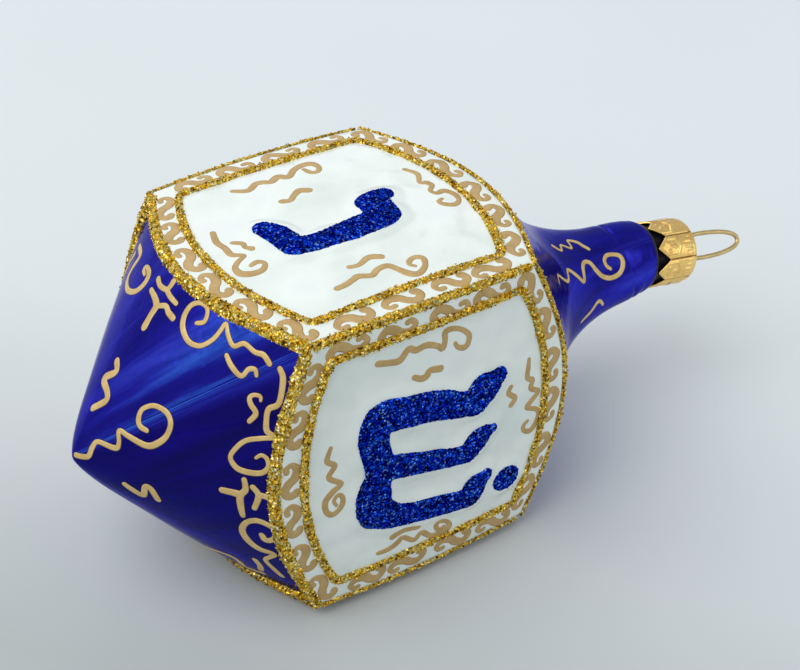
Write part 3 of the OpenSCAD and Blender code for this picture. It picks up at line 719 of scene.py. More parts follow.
# The raised letters as strokes of (along the body, across the face, half width), in shares of their
# size, and the white enamel, which is puffed up a little round them
letters = {"size": 25, "height": 0.9, "grain": 0.25, "ragged": 0.045, "rough": 0.09, "foot": 0.08,
           "puff": 0.42, "puffReach": 2.2, "flakesPerArea": 5.0,
           "flake": {"size": 0.3, "thick": 0.025, "tilt": 0.5}}
letterStrokes = {
    "nun": [
        [(-0.43, 0.13, 0.07), (-0.4, 0.05, 0.09), (-0.38, -0.05, 0.09), (-0.37, -0.15, 0.09)],
        [(-0.37, -0.15, 0.085), (-0.2, -0.175, 0.085), (0, -0.17, 0.1), (0.2, -0.152, 0.105),
         (0.27, -0.13, 0.1)],
        [(0.27, -0.11, 0.105), (0.275, -0.03, 0.11), (0.29, 0.03, 0.105)],
        [(0.26, 0.03, 0.095), (0.33, 0.062, 0.082), (0.395, 0.078, 0.062)]],
    "gimel": [
        [(0.27, -0.13, 0.1), (0.05, -0.15, 0.1), (-0.2, -0.17, 0.095), (-0.44, -0.2, 0.085)],
        [(-0.14, -0.14, 0.075), (-0.29, 0.03, 0.09), (-0.43, 0.2, 0.07)]],
    "hei": [
        [(0.4, 0.42, 0.055), (0.37, 0.28, 0.09), (0.36, -0.28, 0.1)],
        [(0.36, -0.3, 0.105), (0, -0.34, 0.1), (-0.46, -0.34, 0.075)],
        [(0.08, 0.28, 0.055), (-0.14, 0.28, 0.09), (-0.46, 0.26, 0.075)]],
    "shin": [
        [(-0.36, 0.35, 0.115), (-0.395, 0.25, 0.11), (-0.39, 0.14, 0.1), (-0.36, 0.02, 0.1)],
        [(-0.37, -0.08, 0.1), (-0.4, -0.18, 0.12), (-0.4, -0.3, 0.125)],
        [(-0.32, 0.352, 0.12), (-0.18, 0.332, 0.116), (0.045, 0.287, 0.108), (0.2, 0.225, 0.095),
         (0.32, 0.2, 0.1)],
        [(0.33, 0.2, 0.105), (0.38, 0.26, 0.125), (0.445, 0.295, 0.1), (0.49, 0.32, 0.064)],
        [(-0.36, -0.02, 0.1), (-0.2, -0.06, 0.09), (0, -0.115, 0.08), (0.17, -0.161, 0.072),
         (0.28, -0.175, 0.08)],
        [(0.28, -0.17, 0.082), (0.345, -0.11, 0.09), (0.41, -0.075, 0.062), (0.455, -0.065, 0.038)],
        [(-0.385, -0.35, 0.122), (-0.26, -0.435, 0.095), (-0.1, -0.48, 0.086), (0.05, -0.51, 0.086),
         (0.2, -0.542, 0.08), (0.31, -0.55, 0.09)],
        [(0.31, -0.545, 0.092), (0.355, -0.475, 0.095), (0.415, -0.43, 0.058)],
        [(0.583, -0.54, 0.094), (0.598, -0.54, 0.094)]]}
letterStrokes["gimel"] = letterStrokes["nun"][2:] + letterStrokes["gimel"]  # the two heads are alike
enamel = {"thick": 0.2, "sunk": 0.12, "grid": 110, "edge": 0.12, "halfAngle": 44.85, "wave": 0.09,
          "waveLength": 6.0}


def strokeOutline(spots):
    p = smoothPath(np.array(spots) * letters["size"], 10)
    way = unit(np.gradient(p[:, :2], axis=0))
    angle = np.arctan2(way[:, 1], way[:, 0])

    def rim(i, a):
        a = angle[i] + math.radians(a)
        return p[i, :2] + p[i, 2] * np.array([math.cos(a), math.sin(a)])

    last = len(p) - 1
    loop = [rim(i, 90) for i in range(last + 1)] + [rim(last, 90 - a) for a in range(15, 180, 15)]
    loop += [rim(i, -90) for i in range(last, -1, -1)] + [rim(0, -90 - a) for a in range(15, 180, 15)]
    return evenly(np.array(loop), 0.3, closed=True)


def insideOutline(points, outline):
    x, y = points[:, 0][:, None], points[:, 1][:, None]
    a, b = outline, np.roll(outline, -1, 0)
    crosses = (a[:, 1] > y) != (b[:, 1] > y)
    rise = np.where(b[:, 1] == a[:, 1], 1e-9, b[:, 1] - a[:, 1])
    at = a[:, 0] + (y - a[:, 1]) * (b[:, 0] - a[:, 0]) / rise
    return (crosses & (x < at)).sum(1) % 2 == 1


def outerEdges(outlines):  # the stretches of the outlines that bound all the strokes together
    starts, ends = [], []
    for k, outline in enumerate(outlines):
        a, b = outline, np.roll(outline, -1, 0)
        hidden = np.zeros(len(a), bool)
        for m, other in enumerate(outlines):
            if m != k:
                hidden |= insideOutline((a + b) / 2, other)
        starts.append(a[~hidden])
        ends.append(b[~hidden])
    return np.concatenate(starts), np.concatenate(ends)


def edgeDistance(points, edges):
    a, b = edges
    best = np.full(len(points), 1e9)
    for start in range(0, len(a), 200):
        s, way = a[start:start + 200], (b - a)[start:start + 200]
        t = np.clip(((points[:, None] - s) * way).sum(-1) / np.maximum((way * way).sum(-1), 1e-12), 0, 1)
        best = np.minimum(best, np.linalg.norm(points[:, None] - s - way * t[..., None], axis=-1).min(1))
    return best


def insideAny(points, outlines):
    found = np.zeros(len(points), bool)
    for outline in outlines:
        found |= insideOutline(points, outline)
    return found


outlinesOf = {name: [strokeOutline(s) for s in strokes] for name, strokes in letterStrokes.items()}


def ripple(x, y, phase):  # slow unevenness of a hand-painted coat
    k = 2 * math.pi / enamel["waveLength"]
    along = np.sin(k * x * 0.9 + 1.7 * np.sin(k * y * 0.35 + phase) + phase)
    return (along + np.sin(k * y * 1.1 + 1.3 * np.sin(k * x * 0.4 - phase))) / 2


def puffAt(name, flat):  # how far the enamel is puffed up at flat places, near the letter
    edges = outerEdges(outlinesOf[name])
    away = np.where(insideAny(flat, outlinesOf[name]), 0, edgeDistance(flat, edges))
    return letters["puff"] * (1 - smoothStep(0, letters["puffReach"], away))


def enamelLift(name, flat):
    phase = 1.3 * list(faceTurns).index(name)
    return enamel["thick"] + enamel["wave"] * ripple(flat[:, 0], flat[:, 1], phase) + puffAt(name, flat)


def borderX(t, end):  # where the face ends, on the line at angle t from its middle
    low, high = np.full(t.shape, 12.0), np.full(t.shape, 32.0)
    for _ in range(30):
        mid = (low + high) / 2
        inside = flankGap(faceLine(mid, t) * (end, 1, 1), end) < 0
        low, high = np.where(inside, mid, low), np.where(inside, high, mid)
    return (low + high) / 2


def faceLine(x, t):  # the point of the face at x and at angle t round the axis from its middle
    r = faceCentre * np.cos(t) + np.sqrt(faceRadius ** 2 - x * x - (faceCentre * np.sin(t)) ** 2)
    return np.stack([x, r * np.sin(t), r * np.cos(t)], -1)


for name, turn in faceTurns.items():
    share = np.linspace(-1, 1, enamel["grid"])
    t = np.radians(enamel["halfAngle"]) * share[None, :] * np.ones((enamel["grid"], 1))
    x = share[:, None] * (borderX(t[0], 1) - enamel["edge"])[None, :]
    p = faceLine(x, t)
    flat = p[..., :2].reshape(-1, 2)
    lift = enamelLift(name, flat).reshape(x.shape)
    rim = np.minimum(1 - np.abs(share)[:, None], 1 - np.abs(share)[None, :])
    lift = lift * smoothStep(-0.004, 0.02, rim)
    place = onFace(turn)
    points, faces = shell(place(p[..., :2], lift), place(p[..., :2], np.full(x.shape, -enamel["sunk"])))
    addPiece(name + "Enamel", points, [tuple(reversed(f)) for f in faces], "ornament",
             [finishes["white"]], [name + "_face_enamel"])
print("faces enamelled")


def letterCoat(name, place, dice):
    # One letter in glitter: grains meshed inside its outline, domed towards its middle, with loose flakes
    outlines = outlinesOf[name]
    edges = outerEdges(outlines)
    grain = letters["grain"]
    low, high = np.concatenate(outlines).min(0), np.concatenate(outlines).max(0)
    rows = np.arange(low[1], high[1], grain * 0.87)
    spots = np.array([(x + (grain / 2 if k % 2 else 0), y) for k, y in enumerate(rows)
                      for x in np.arange(low[0], high[0], grain)])
    spots = spots + dice.uniform(-0.25, 0.25, spots.shape) * grain
    spots = spots[insideAny(spots, outlines)]
    spots = spots[edgeDistance(spots, edges) > grain * 0.6]
    rough = [o + dice.normal(0, letters["ragged"], o.shape) for o in outlines]  # the grains leave it ragged
    loose = [Vector(p) for p in np.concatenate([*rough, spots])]
    ties, start = [], 0
    for o in rough:
        ties += [(start + i, start + (i + 1) % len(o)) for i in range(len(o))]
        start += len(o)
    made = delaunay_2d_cdt(loose, ties, [], 0, 1e-5)
    flat = np.array([list(v) for v in made[0]])
    triangles = np.array([f for f in made[2] if len(f) == 3])
    middle = flat[triangles].mean(1)
    triangles = triangles[insideAny(middle, rough)]
    used = np.unique(triangles)
    index = np.full(len(flat), -1)
    index[used] = np.arange(len(used))
    flat, triangles = flat[used], index[triangles]
    sides = np.sort(np.concatenate([triangles[:, [0, 1]], triangles[:, [1, 2]], triangles[:, [2, 0]]]), 1)
    pairs, counts = np.unique(sides, axis=0, return_counts=True)
    onRim = np.zeros(len(flat), bool)
    onRim[np.unique(pairs[counts == 1])] = True
    deep = np.minimum(edgeDistance(flat, edges) / 1.15, 1)
    dome = np.sqrt(1 - (1 - deep) ** 2)
    base = enamel["thick"] + letters["puff"]
    crown = enamel["thick"] + letters["height"]
    grit = dice.uniform(-letters["rough"], letters["rough"], len(flat))
    lift = base + 0.12 + (crown - base - 0.22) * dome + grit
    lift = np.where(onRim, base + 0.05, lift)
    top, bottom = place(flat, lift), place(flat, np.full(len(flat), letters["foot"]))
    count = len(flat)
    one, two, three = (flat[triangles[:, k]] for k in range(3))
    area = np.cross(two - one, three - one)
    triangles = np.where((area < 0)[:, None], triangles[:, ::-1], triangles)
    faces = [tuple(t) for t in triangles] + [tuple(t[::-1] + count) for t in triangles]
    rimWays = {}
    for t in triangles:
        for a, b in ((t[0], t[1]), (t[1], t[2]), (t[2], t[0])):
            rimWays[(a, b)] = True
    faces += [(b, a, a + count, b + count) for a, b in rimWays if (b, a) not in rimWays]
    number = int(np.abs(area).sum() / 2 * letters["flakesPerArea"])
    pick = dice.integers(0, len(triangles), number)
    mix = dice.dirichlet((1, 1, 1), number)
    corners = top[triangles[pick]]
    spot = (corners * mix[..., None]).sum(1)
    normal = unit(np.cross(corners[:, 1] - corners[:, 0], corners[:, 2] - corners[:, 0]))
    chips = flakes(spot + normal * 0.01, normal, letters["flake"], dice)
    return joined([(np.concatenate([top, bottom]), faces), chips])


for name, turn in faceTurns.items():
    points, faces = letterCoat(name, onFace(turn), dice)
    addPiece(name + "Letter", points, faces, "ornament", [finishes["blueGlitter"]],
             [name + "_letter"], smooth=False)
print("letters laid")

# The gold glitter beads. Each reaches over the two surfaces that it lies on: the face and the flank
# for a border, and the two faces in the edge's name for an edge
bead = {"height": 0.7, "sink": 0.15, "step": 0.3, "flakesPerArea": 3.4,
        "flake": {"size": 0.42, "thick": 0.035, "tilt": 0.55},
        "borders": {"point": (1.1, 1.15), "neck": (0.15, 1.1)}, "borderWidth": 2.2,
        "edges": {("shin", "nun"): (0.85, 0.85), ("nun", "gimel"): (0.12, 1.0),
                  ("gimel", "hei"): (0.85, 0.85), ("hei", "shin"): (1.0, 0.25)},
        "edgeWidth": 2.0, "edgeShort": 0.6, "frame": 0.7, "frameInset": 0.85, "frameShift": {"shin": (0.6, 0.95)},
        "frameSpots": 60, "cornerRound": 1.5, "band": 2.7}


def borderRidge(end):
    # All round one end of the body: the ridge, and the surfaces that meet there
    stretches = []
    for turn in (0, -90, -180, -270):
        t = np.radians(np.linspace(-45, 45, 60, endpoint=False))
        p = faceLine(borderX(t, 1), t)
        q = p - (glass["apexX"], 0, 0)
        along = (q @ flankAxis)[:, None]
        nFlank = unit(q - along * flankAxis) * cosd(flankAngle) - flankAxis * sind(flankAngle)
        nFace = unit(p - (0, 0, faceCentre))
        way = unit(np.cross(nFace, nFlank))
        sFace, sFlank = unit(np.cross(nFace, way)), unit(np.cross(nFlank, way))
        sFace = sFace * np.where(sFace[:, :1] > 0, -1, 1)
        sFlank = sFlank * np.where(sFlank[:, :1] < 0, -1, 1)
        parts = [turned(v * (end, 1, 1), turn) for v in (p, sFace, sFlank, nFace, nFlank)]
        stretches.append(np.concatenate(parts, 1))
    whole = evenly(np.concatenate(stretches), bead["step"], closed=True)
    soft = sum(np.roll(whole, k, 0) for k in (-4, -3, -2, -1, 0, 1, 2, 3, 4)) / 9
    whole[:, 3:] = soft[:, 3:]
    return [whole[:, 0:3]] + [unit(whole[:, k:k + 3]) for k in (3, 6, 9, 12)]


for where, end in (("point", -1), ("neck", 1)):
    ridge, sFace, sFlank, nFace, nFlank = borderRidge(end)
    points, faces = glitterRope(ridge, (sFace, sFlank), (nFace, nFlank), bead["borders"][where], True, dice,
                                settled)
    addPiece(where + "BorderGlitter", points, faces, "ornament", [finishes["gold"]],
             [where + "_border_bead"], smooth=False)

for (one, two), reaches in bead["edges"].items():
    half = glass["edgeX"] - bead["edgeShort"]
    x = np.linspace(-half, half, int(2 * glass["edgeX"] / bead["step"]))
    ridge = turned(faceLine(x, np.full(x.shape, np.radians(-45))), faceTurns[two])
    normals = [unit(ridge - turned(np.array([0, 0, faceCentre]), faceTurns[k])) for k in (one, two)]
    along = unit(np.gradient(ridge, axis=0))
    sides = []
    for k, n in zip((one, two), normals):
        s = unit(np.cross(n, along))
        inward = turned(np.array([0, 0, 25.0]), faceTurns[k]) - ridge  # towards the middle of that face
        sides.append(s * np.sign((s * inward).sum(-1))[:, None])
    points, faces = glitterRope(ridge, sides, normals, reaches, False, dice, settled)
    addPiece(one + two.title() + "EdgeGlitter", points, faces, "ornament",
             [finishes["gold"]], ["edge_bead_%s_%s" % (one, two)], smooth=False)


def frameLine(inset):  # the frame's outline on a face, drawn in by inset: straight sides and bowed ends
    half = edgeHeight(0) - bead["edgeWidth"] / 2 - bead["band"] - inset
    outerMid = glass["midX"] - bead["borderWidth"] / 2 - bead["band"]
    outerCorner = glass["edgeX"] - (bead["borderWidth"] + bead["band"]) / 2
    outerHalf = half + inset
    bow = outerMid - outerCorner
    radius = (outerHalf ** 2 + bow ** 2) / (2 * bow)
    centre, radius = outerMid - radius, radius - inset
    reach = math.asin(half / radius)
    a = np.linspace(-reach, reach, bead["frameSpots"])
    end = np.stack([centre + radius * np.cos(a), radius * np.sin(a)], -1)
    x = np.linspace(end[-1, 0], -end[-1, 0], bead["frameSpots"])[1:-1]
    side = np.stack([x, np.full(len(x), half)], -1)
    return np.concatenate([end, side, end * (-1, -1), side * (-1, -1)])


def rounded(loop, radius, spacing=0.2):  # a closed flat outline with its corners rounded off
    p = evenly(loop, spacing, closed=True)
    k = int(radius / spacing)
    kernel = np.ones(k) / k
    wrapped = np.concatenate([p[-2 * k:], p, p[:2 * k]])
    for _ in range(2):
        wrapped = np.stack([np.convolve(wrapped[:, c], kernel, "same") for c in (0, 1)], -1)
    return wrapped[2 * k:-2 * k]


for name, turn in faceTurns.items():
    flat = evenly(rounded(frameLine(bead["frameInset"]), bead["cornerRound"]), bead["step"], closed=True)
    flat = flat + bead["frameShift"].get(name, (0, 0)) * (1 + flat / 20) / 2
    way = unit(np.roll(flat, -1, 0) - np.roll(flat, 1, 0))
    side = np.stack([-way[:, 1], way[:, 0]], -1)
    place = onFace(turn)
    lift = np.full(len(flat), enamel["thick"] - 0.02)
    ridge = place(flat, lift)
    outward = unit(place(flat + side * 0.1, lift) - ridge)
    normal = unit(place(flat, lift + 1) - ridge)
    points, faces = glitterRope(ridge, (-outward, outward), (normal, normal),
                                (bead["frame"], bead["frame"]), True, dice)
    addPiece(name + "FrameGlitter", points, faces, "ornament", [finishes["gold"]],
             [name + "_frame_bead"], smooth=False)
print("glitter beads laid")

# The gold paint: scrolls in the bands, waves and curls on the faces, the point and the neck
paint = {"high": 0.05, "sink": 0.06, "step": 0.2, "stepsPerSpot": 7, "leastWidth": 0.2,
         "broadOnFaces": 1.35, "broadOnBlue": 1.2, "edgeShadeHigh": 0.03, "edgeShadeWider": 0.14}
scroll = {"spacing": 7.9, "step": 0.2,
          "spots": [(-1.8, -0.7, 0.7), (-2.6, -0.75, 0.7), (-3.1, 0.1, 0.75), (-2.0, 0.9, 1.0),
                    (-0.5, 0.6, 1.15), (0.5, -0.35, 1.15), (1.8, -0.85, 1.05), (2.9, -0.1, 0.95),
                    (2.7, 0.75, 1.1), (2.2, 1.0, 0.9)]}


def placed(spots, at, angle, size):  # a drawn line, moved to its place on the face
    s = np.array(spots, float)
    c, n = cosd(angle), sind(angle)
    x, y = s[:, 0] * size, s[:, 1]
    return np.stack([at[0] + x * c - y * n, at[1] + x * n + y * c, s[:, 2]], -1)


def bandScrolls(dice):
    drawn = []
    line = rounded(frameLine(-bead["band"] / 2), bead["cornerRound"])
    line = evenly(line, scroll["step"], closed=True)
    count = int(len(line) * scroll["step"] / scroll["spacing"])
    for k in range(count):
        i = int((k + 0.5) * len(line) / count + dice.integers(-3, 4)) % len(line)
        way = line[(i + 8) % len(line)] - line[i - 8]
        angle = math.degrees(math.atan2(way[1], way[0])) + dice.uniform(-5, 5)
        drawn.append(placed(scroll["spots"], line[i] + dice.normal(0, 0.06, 2), angle,
                            dice.uniform(0.9, 1.04)))
    return drawn


# Brush strokes on the faces: spots along each as (along the body, across the face, width)
faceStrokes = {
    "nun": [
        [(-8.9, 16.3, 0.7), (-6.8, 15.2, 0.9), (-4.9, 16.2, 0.9), (-3.7, 16.0, 1), (-2.6, 15.4, 1),
         (-0.9, 16.3, 1), (0.5, 15.3, 0.9), (2.4, 16.7, 0.9), (4.5, 17.4, 1.1), (5.8, 16.8, 1),
         (6.1, 15.3, 0.7), (5.1, 14.2, 0.7), (4.1, 14.6, 0.8), (3.7, 15.9, 0.6)],
        [(-4.2, 8.9, 1), (-3, 8.6, 0.8), (-1.7, 9.7, 0.8), (-0.3, 10.5, 1), (0.9, 9.7, 1)],
        [(17.4, 7.6, 0.7), (18.2, 5.2, 0.7), (17.1, 2.9, 0.6), (17.9, 2.3, 0.9), (18.2, 1.1, 0.7),
         (17, -0.3, 0.6), (17.5, -1.4, 0.7), (18.9, -1.2, 0.9), (19.8, -2.8, 0.8), (19.3, -4.8, 0.6),
         (17.9, -5.6, 0.8), (16.5, -4.8, 0.8), (16.3, -3.7, 0.6), (17.2, -3.2, 0.5)],
        [(-17.2, 7.2, 0.7), (-17.9, 4.7, 0.8), (-17.7, 2.5, 0.8), (-17.7, 0.4, 0.8), (-16.3, -0.8, 0.6),
         (-17.8, -1.8, 0.7), (-18.9, -2.9, 0.7), (-18.9, -4.5, 1), (-17.5, -5.6, 1), (-15.8, -5.6, 0.8),
         (-14.8, -4.4, 0.6), (-15.5, -3.5, 0.8), (-16.7, -3.8, 0.6)],
        [(-16, 3.1, 0.7), (-15, 2, 0.7), (-15.1, 1, 0.6), (-14.5, 0.1, 0.8)],
        [(-5, -12, 0.7), (-3.5, -12.2, 0.7), (-1.4, -11.4, 0.9), (0.3, -12.2, 0.9)],
        [(-9.2, -15.5, 0.8), (-7.6, -15.4, 0.8), (-6.2, -15, 0.8), (-5.1, -14.7, 0.9), (-3.3, -15.4, 0.8),
         (-1.9, -14.7, 0.8), (-0.2, -14.7, 0.9), (0.7, -16.2, 0.8), (1.6, -17.9, 1), (2.8, -18.5, 0.9),
         (4.5, -17.5, 0.7), (5.4, -15.9, 0.7), (4.8, -14.9, 0.8), (3.6, -15, 0.7), (2.8, -16, 0.6),
         (3.3, -16.7, 0.5)]],
    "shin": [
        [(-8.7, 18.3, 0.8), (-6.9, 17.8, 0.8), (-5.1, 17.5, 0.9), (-3.5, 18.8, 0.8), (-2.3, 18.2, 0.8),
         (-0.5, 18.4, 0.8), (1.4, 17.5, 0.7), (2.3, 16.7, 0.8), (2.7, 17.9, 0.7), (2.8, 19.3, 0.8),
         (4, 19.5, 0.7), (5.6, 18.8, 0.6), (6.9, 17.4, 0.7), (6.9, 16, 0.8), (6.2, 15.4, 0.8),
         (5, 15.9, 0.6), (4.5, 16.8, 0.5)],
        [(-2.7, 13.6, 0.7), (-1.5, 12.9, 0.8), (-0.5, 13, 0.9), (0, 13.7, 0.8), (1.8, 13.4, 0.9)],
        [(18.4, 8.2, 0.5), (18.3, 6.5, 0.7), (18.3, 4.7, 0.7), (19.3, 3.9, 0.7), (19, 2.5, 0.7),
         (20.6, 1.1, 0.7), (19.4, -0.1, 0.9), (18.5, -1.1, 0.7), (20.5, -2.4, 0.6), (20.9, -3.7, 0.6),
         (20.3, -5.6, 0.8), (19.4, -6.3, 0.8), (18.2, -5.6, 0.6), (18, -4.5, 0.7), (18.7, -4, 0.6)],
        [(15.1, 4.3, 0.7), (14.7, 3.3, 0.7), (16, 1.9, 0.7), (15.3, 0.9, 0.8)],
        [(-16.9, 6.6, 0.5), (-17.5, 4.4, 0.7), (-16.3, 3, 0.7), (-17.3, 1.2, 0.7), (-15.4, -0.7, 0.7),
         (-16.7, -1.7, 0.9), (-18, -3.2, 0.8), (-17.9, -5.1, 0.7), (-16.8, -6.1, 0.8), (-15.5, -5.3, 0.8),
         (-15.1, -3.7, 0.6), (-15.8, -2.7, 0.6), (-16.6, -3.5, 0.5), (-16.2, -4.6, 0.4)],
        [(-6.3, -15.7, 1), (-5.3, -15.4, 1), (-4.2, -15.3, 0.9), (-1.8, -15.9, 0.7)],
        [(-8.9, -18, 0.6), (-6.9, -18.1, 0.8), (-5.4, -17.6, 0.9), (-4.4, -16.9, 0.7), (-2.3, -18.5, 0.7),
         (-1, -17.5, 0.8), (0.8, -19.2, 0.7), (2.7, -19.4, 0.8), (4.2, -19, 0.9), (4, -17.8, 0.6),
         (2.7, -17, 0.7), (1.8, -17.4, 0.7), (2.3, -18.7, 0.6), (3.3, -18.4, 0.5)]]}
for one, other in (("gimel", "nun"), ("hei", "shin")):  # painted alike, the other way across
    faceStrokes[one] = [[(x, -y, w) for x, y, w in spots] for spots in faceStrokes[other]]

# Brush strokes on the blue: spots along each as (along the axis, degrees round it, width)
pointStrokes = [
    [(-24.8, 49, 0.8), (-26, 55, 0.9), (-26.8, 54, 1), (-27.5, 51, 1), (-28.7, 50, 1), (-30, 57, 0.8),
     (-30.1, 66, 0.8), (-29.1, 71, 1), (-28, 71, 1), (-27.4, 67, 0.6), (-27.7, 65, 0.7), (-28.2, 68, 0.5)],
    [(-27.9, 79, 0.8), (-28.3, 82.4, 0.7), (-28.1, 87.3, 0.7), (-27.1, 87.9, 0.9)],
    [(-28.2, 87.6, 0.7), (-28.4, 91.3, 0.7), (-28.4, 95.9, 0.6)],
    [(-29.2, 78.3, 0.7), (-29.6, 83.7, 0.9), (-30.1, 87, 1.1), (-31.2, 87.2, 1), (-32.4, 87.7, 1.1)],
    [(-30.1, 87, 0.7), (-29.4, 91.9, 0.7), (-29.6, 95.4, 0.8), (-29.6, 99.2, 0.8)],
    [(-27.9, 109, 0.5), (-27.2, 110.8, 0.6), (-26.5, 109.7, 0.6), (-26.1, 107.4, 0.6),
     (-26.4, 104.3, 0.6), (-27.3, 102.1, 0.7), (-28.5, 102.8, 0.8), (-29.4, 106.4, 0.8),
     (-29.6, 112.4, 0.7), (-28.8, 116.9, 0.6), (-27.4, 118.1, 0.6), (-26.2, 117.4, 0.6),
     (-25.3, 116.6, 0.5), (-25.7, 120.3, 0.6), (-25.7, 124.2, 0.6), (-24.6, 125.4, 0.6),
     (-24, 129.2, 0.6), (-23.3, 131.2, 0.7), (-23.1, 134.1, 0.7)],
    [(-26.8, 125.6, 0.6), (-26.8, 129.5, 0.7), (-26.3, 133.8, 0.6), (-25.3, 132.9, 0.6),
     (-24.7, 133.9, 0.6), (-24.8, 135.6, 0.5)],
    [(-36.8, 81.7, 1), (-37.6, 86.7, 0.9), (-38.9, 77.4, 1.1), (-39.6, 90.3, 0.9), (-40.3, 95.6, 0.9),
     (-41.8, 83.7, 0.9)],
    [(-45.9, 124.6, 0.7), (-44.8, 150.3, 0.7), (-44, 133, 0.7), (-43.2, 129.2, 0.6), (-41.7, 146, 0.7),
     (-41.1, 141, 0.6), (-40.6, 130.3, 0.6), (-39.8, 139.5, 0.7), (-38.3, 150.2, 0.8), (-37, 149.6, 0.8),
     (-35.9, 146.2, 0.7), (-35.1, 140.4, 0.7), (-35.1, 134.1, 0.7), (-36, 127.5, 0.6),
     (-37.3, 125.2, 0.6), (-38.1, 129.2, 0.7), (-38.3, 134.8, 0.7), (-37.8, 139.6, 0.6)],
    [(-22.3, 136.6, 0.7), (-22.4, 139.6, 0.8), (-23.6, 145.4, 0.7), (-24.8, 146.3, 0.7),
     (-25.4, 149.8, 0.7), (-25.6, 153, 0.8), (-25, 155.2, 0.6), (-26.4, 155, 0.6), (-28, 155.1, 0.6),
     (-29.2, 157.5, 0.6), (-30, 161.2, 0.6), (-29.6, 165.7, 0.8), (-28.5, 167.6, 0.8),
     (-27.1, 167.6, 0.7), (-26.3, 165.2, 0.6), (-26.3, 162.2, 0.6), (-26.8, 160.9, 0.5),
     (-27.4, 161.8, 0.4)],
    [(-27.1, 148.6, 0.6), (-26.2, 146.6, 0.7), (-26.4, 143.4, 0.7), (-26.3, 141.3, 0.6),
     (-25.8, 140.8, 0.5), (-25.2, 141.9, 0.5), (-25.3, 143.1, 0.4)],
    [(-31.4, 177.5, 0.9), (-30.4, 177.9, 1), (-29.6, 178.3, 1.1)],
    [(-29, 170.9, 0.7), (-29, 175.5, 0.8), (-29.6, 178.9, 0.9), (-29.6, 184.5, 0.9), (-29.4, 189.4, 0.7)],
    [(-28.2, 174, 0.8), (-27.7, 177.4, 0.8), (-28.2, 183.8, 0.7)],
    [(-27.6, 177, 0.8), (-26.5, 177.8, 0.9)],
    [(-27.3, 197.3, 0.8), (-26.8, 199.7, 1), (-26.1, 197.5, 0.8), (-25.7, 193.1, 0.8),
     (-26.6, 190.9, 0.9), (-27.9, 190.1, 0.9), (-29, 192.9, 0.8), (-29.3, 198.8, 0.9),
     (-28.4, 204.7, 1.1), (-27.1, 207.2, 1.1), (-25.6, 206.7, 0.8), (-26.1, 213.5, 0.7),
     (-24.8, 218, 0.9), (-23.6, 221, 0.9)],
    [(-26.9, 218, 0.9), (-26, 221.7, 0.9), (-25.5, 226, 0.9)],
    [(-41.4, 195.9, 0.8), (-40.6, 200.4, 1), (-39.5, 202.3, 0.9), (-39.3, 189, 0.8), (-38.7, 190.4, 0.9),
     (-38, 200.1, 0.9)]]
neckStrokes = [
    [(38.7, 111.7, 0.6), (40.3, 115.6, 0.4), (41.3, 109, 0.4), (43.4, 112.3, 0.4), (44, 101.5, 0.4),
     (45.8, 103.7, 0.7), (46.5, 109.6, 0.7), (47.3, 115.1, 0.6)],
    [(34, 140.6, 0.5), (34.8, 136.2, 0.4), (37.9, 141.9, 0.5), (39.1, 133.6, 0.5), (41, 139.7, 0.6),
     (42.6, 147.6, 0.6), (43.6, 134.6, 0.7), (44.7, 129.7, 0.6), (45.9, 132.4, 0.7), (46.6, 141.6, 0.8),
     (47.8, 151.3, 0.7), (49.8, 157.3, 0.7), (52, 155.7, 0.8), (53.2, 144.8, 0.8), (53.1, 134.6, 0.7),
     (51.9, 129.9, 0.6), (50.4, 128.6, 0.6), (49.4, 133.7, 0.6), (49.4, 141.1, 0.6), (50.1, 146.1, 0.5)],
    [(40.6, 183.8, 0.4), (43.7, 183.5, 0.6), (46, 177.4, 0.6), (47.5, 187.6, 0.4)]]


def paintOn(name, drawings, slot, finish, *stroke):
    points, faces = joined([brushLine(spots, place, *stroke) for spots, place in drawings])
    addPiece(name, points, faces, "ornament", [finishes[finish]])


for name, turn in faceTurns.items():
    base = onFace(turn)

    def onEnamel(flat, lift, base=base, name=name):
        return base(flat, enamelLift(name, flat.reshape(-1, 2)).reshape(flat.shape[:-1]) + lift)

    drawings = [(spots, onEnamel) for spots in faceStrokes[name] + bandScrolls(dice)]
    paintOn(name + "Scrolls", drawings, "white_enamel", "paint", paint["broadOnFaces"], paint["high"])
for name, strokes in (("pointScrolls", pointStrokes), ("neckScrolls", neckStrokes)):
    drawings = [(aroundGlass(spots, turn), settled) for spots in strokes for turn in (0, 180)]
    paintOn(name, drawings, "blue_lacquered_glass", "bluePaint", paint["broadOnBlue"], paint["high"])
    # the dark band round each stroke is painted shade at its raised edge
    paintOn(name + "Outline", drawings, "blue_lacquered_glass", "outline", paint["broadOnBlue"],
            paint["edgeShadeHigh"], paint["edgeShadeWider"])
print("gold paint drawn")

# The dark coat at the mouth, the stamped cap and the wire. Places along are from the neck's bend
coat = {"thick": 0.15, "columns": 120, "start": 40, "end": 10.95}
cap = {"lobes": 8, "top": 11.8, "low": 3.3, "notch": 2.5, "radius": 5.7, "sheet": 0.3, "edgeRound": 0.7,
       "perLobe": 48, "rows": 70, "turn": 4.5, "holeClear": 0.06, "holeSteps": 24}
wire = {"radius": 0.42, "leg": 1.95, "loopU": 23.53, "splayU": 2.95, "splay": 19, "bendRadius": 1.6,
        "splayLength": 8.578, "turn": -36, "round": 20, "widestU": 16.5, "widest": 2.19,
        "bowEase": 1.5, "blunt": 0.87}


def atMouth(points):  # (along, sideways, up) from the bend, along the mouth's own axis
    p = np.asarray(points, float)
    return bendPoint + p[..., :1] * mouthAxes[0] + p[..., 1:2] * mouthAxes[1] + p[..., 2:3] * mouthAxes[2]


def spun(profile, columns):
    # Rings round the mouth's axis: the profile is (along, radius), each one number or one per column
    a = np.arange(columns) / columns * 2 * math.pi
    return atMouth(np.array([np.stack([u + 0 * a, r * np.cos(a), r * np.sin(a)], -1) for u, r in profile]))


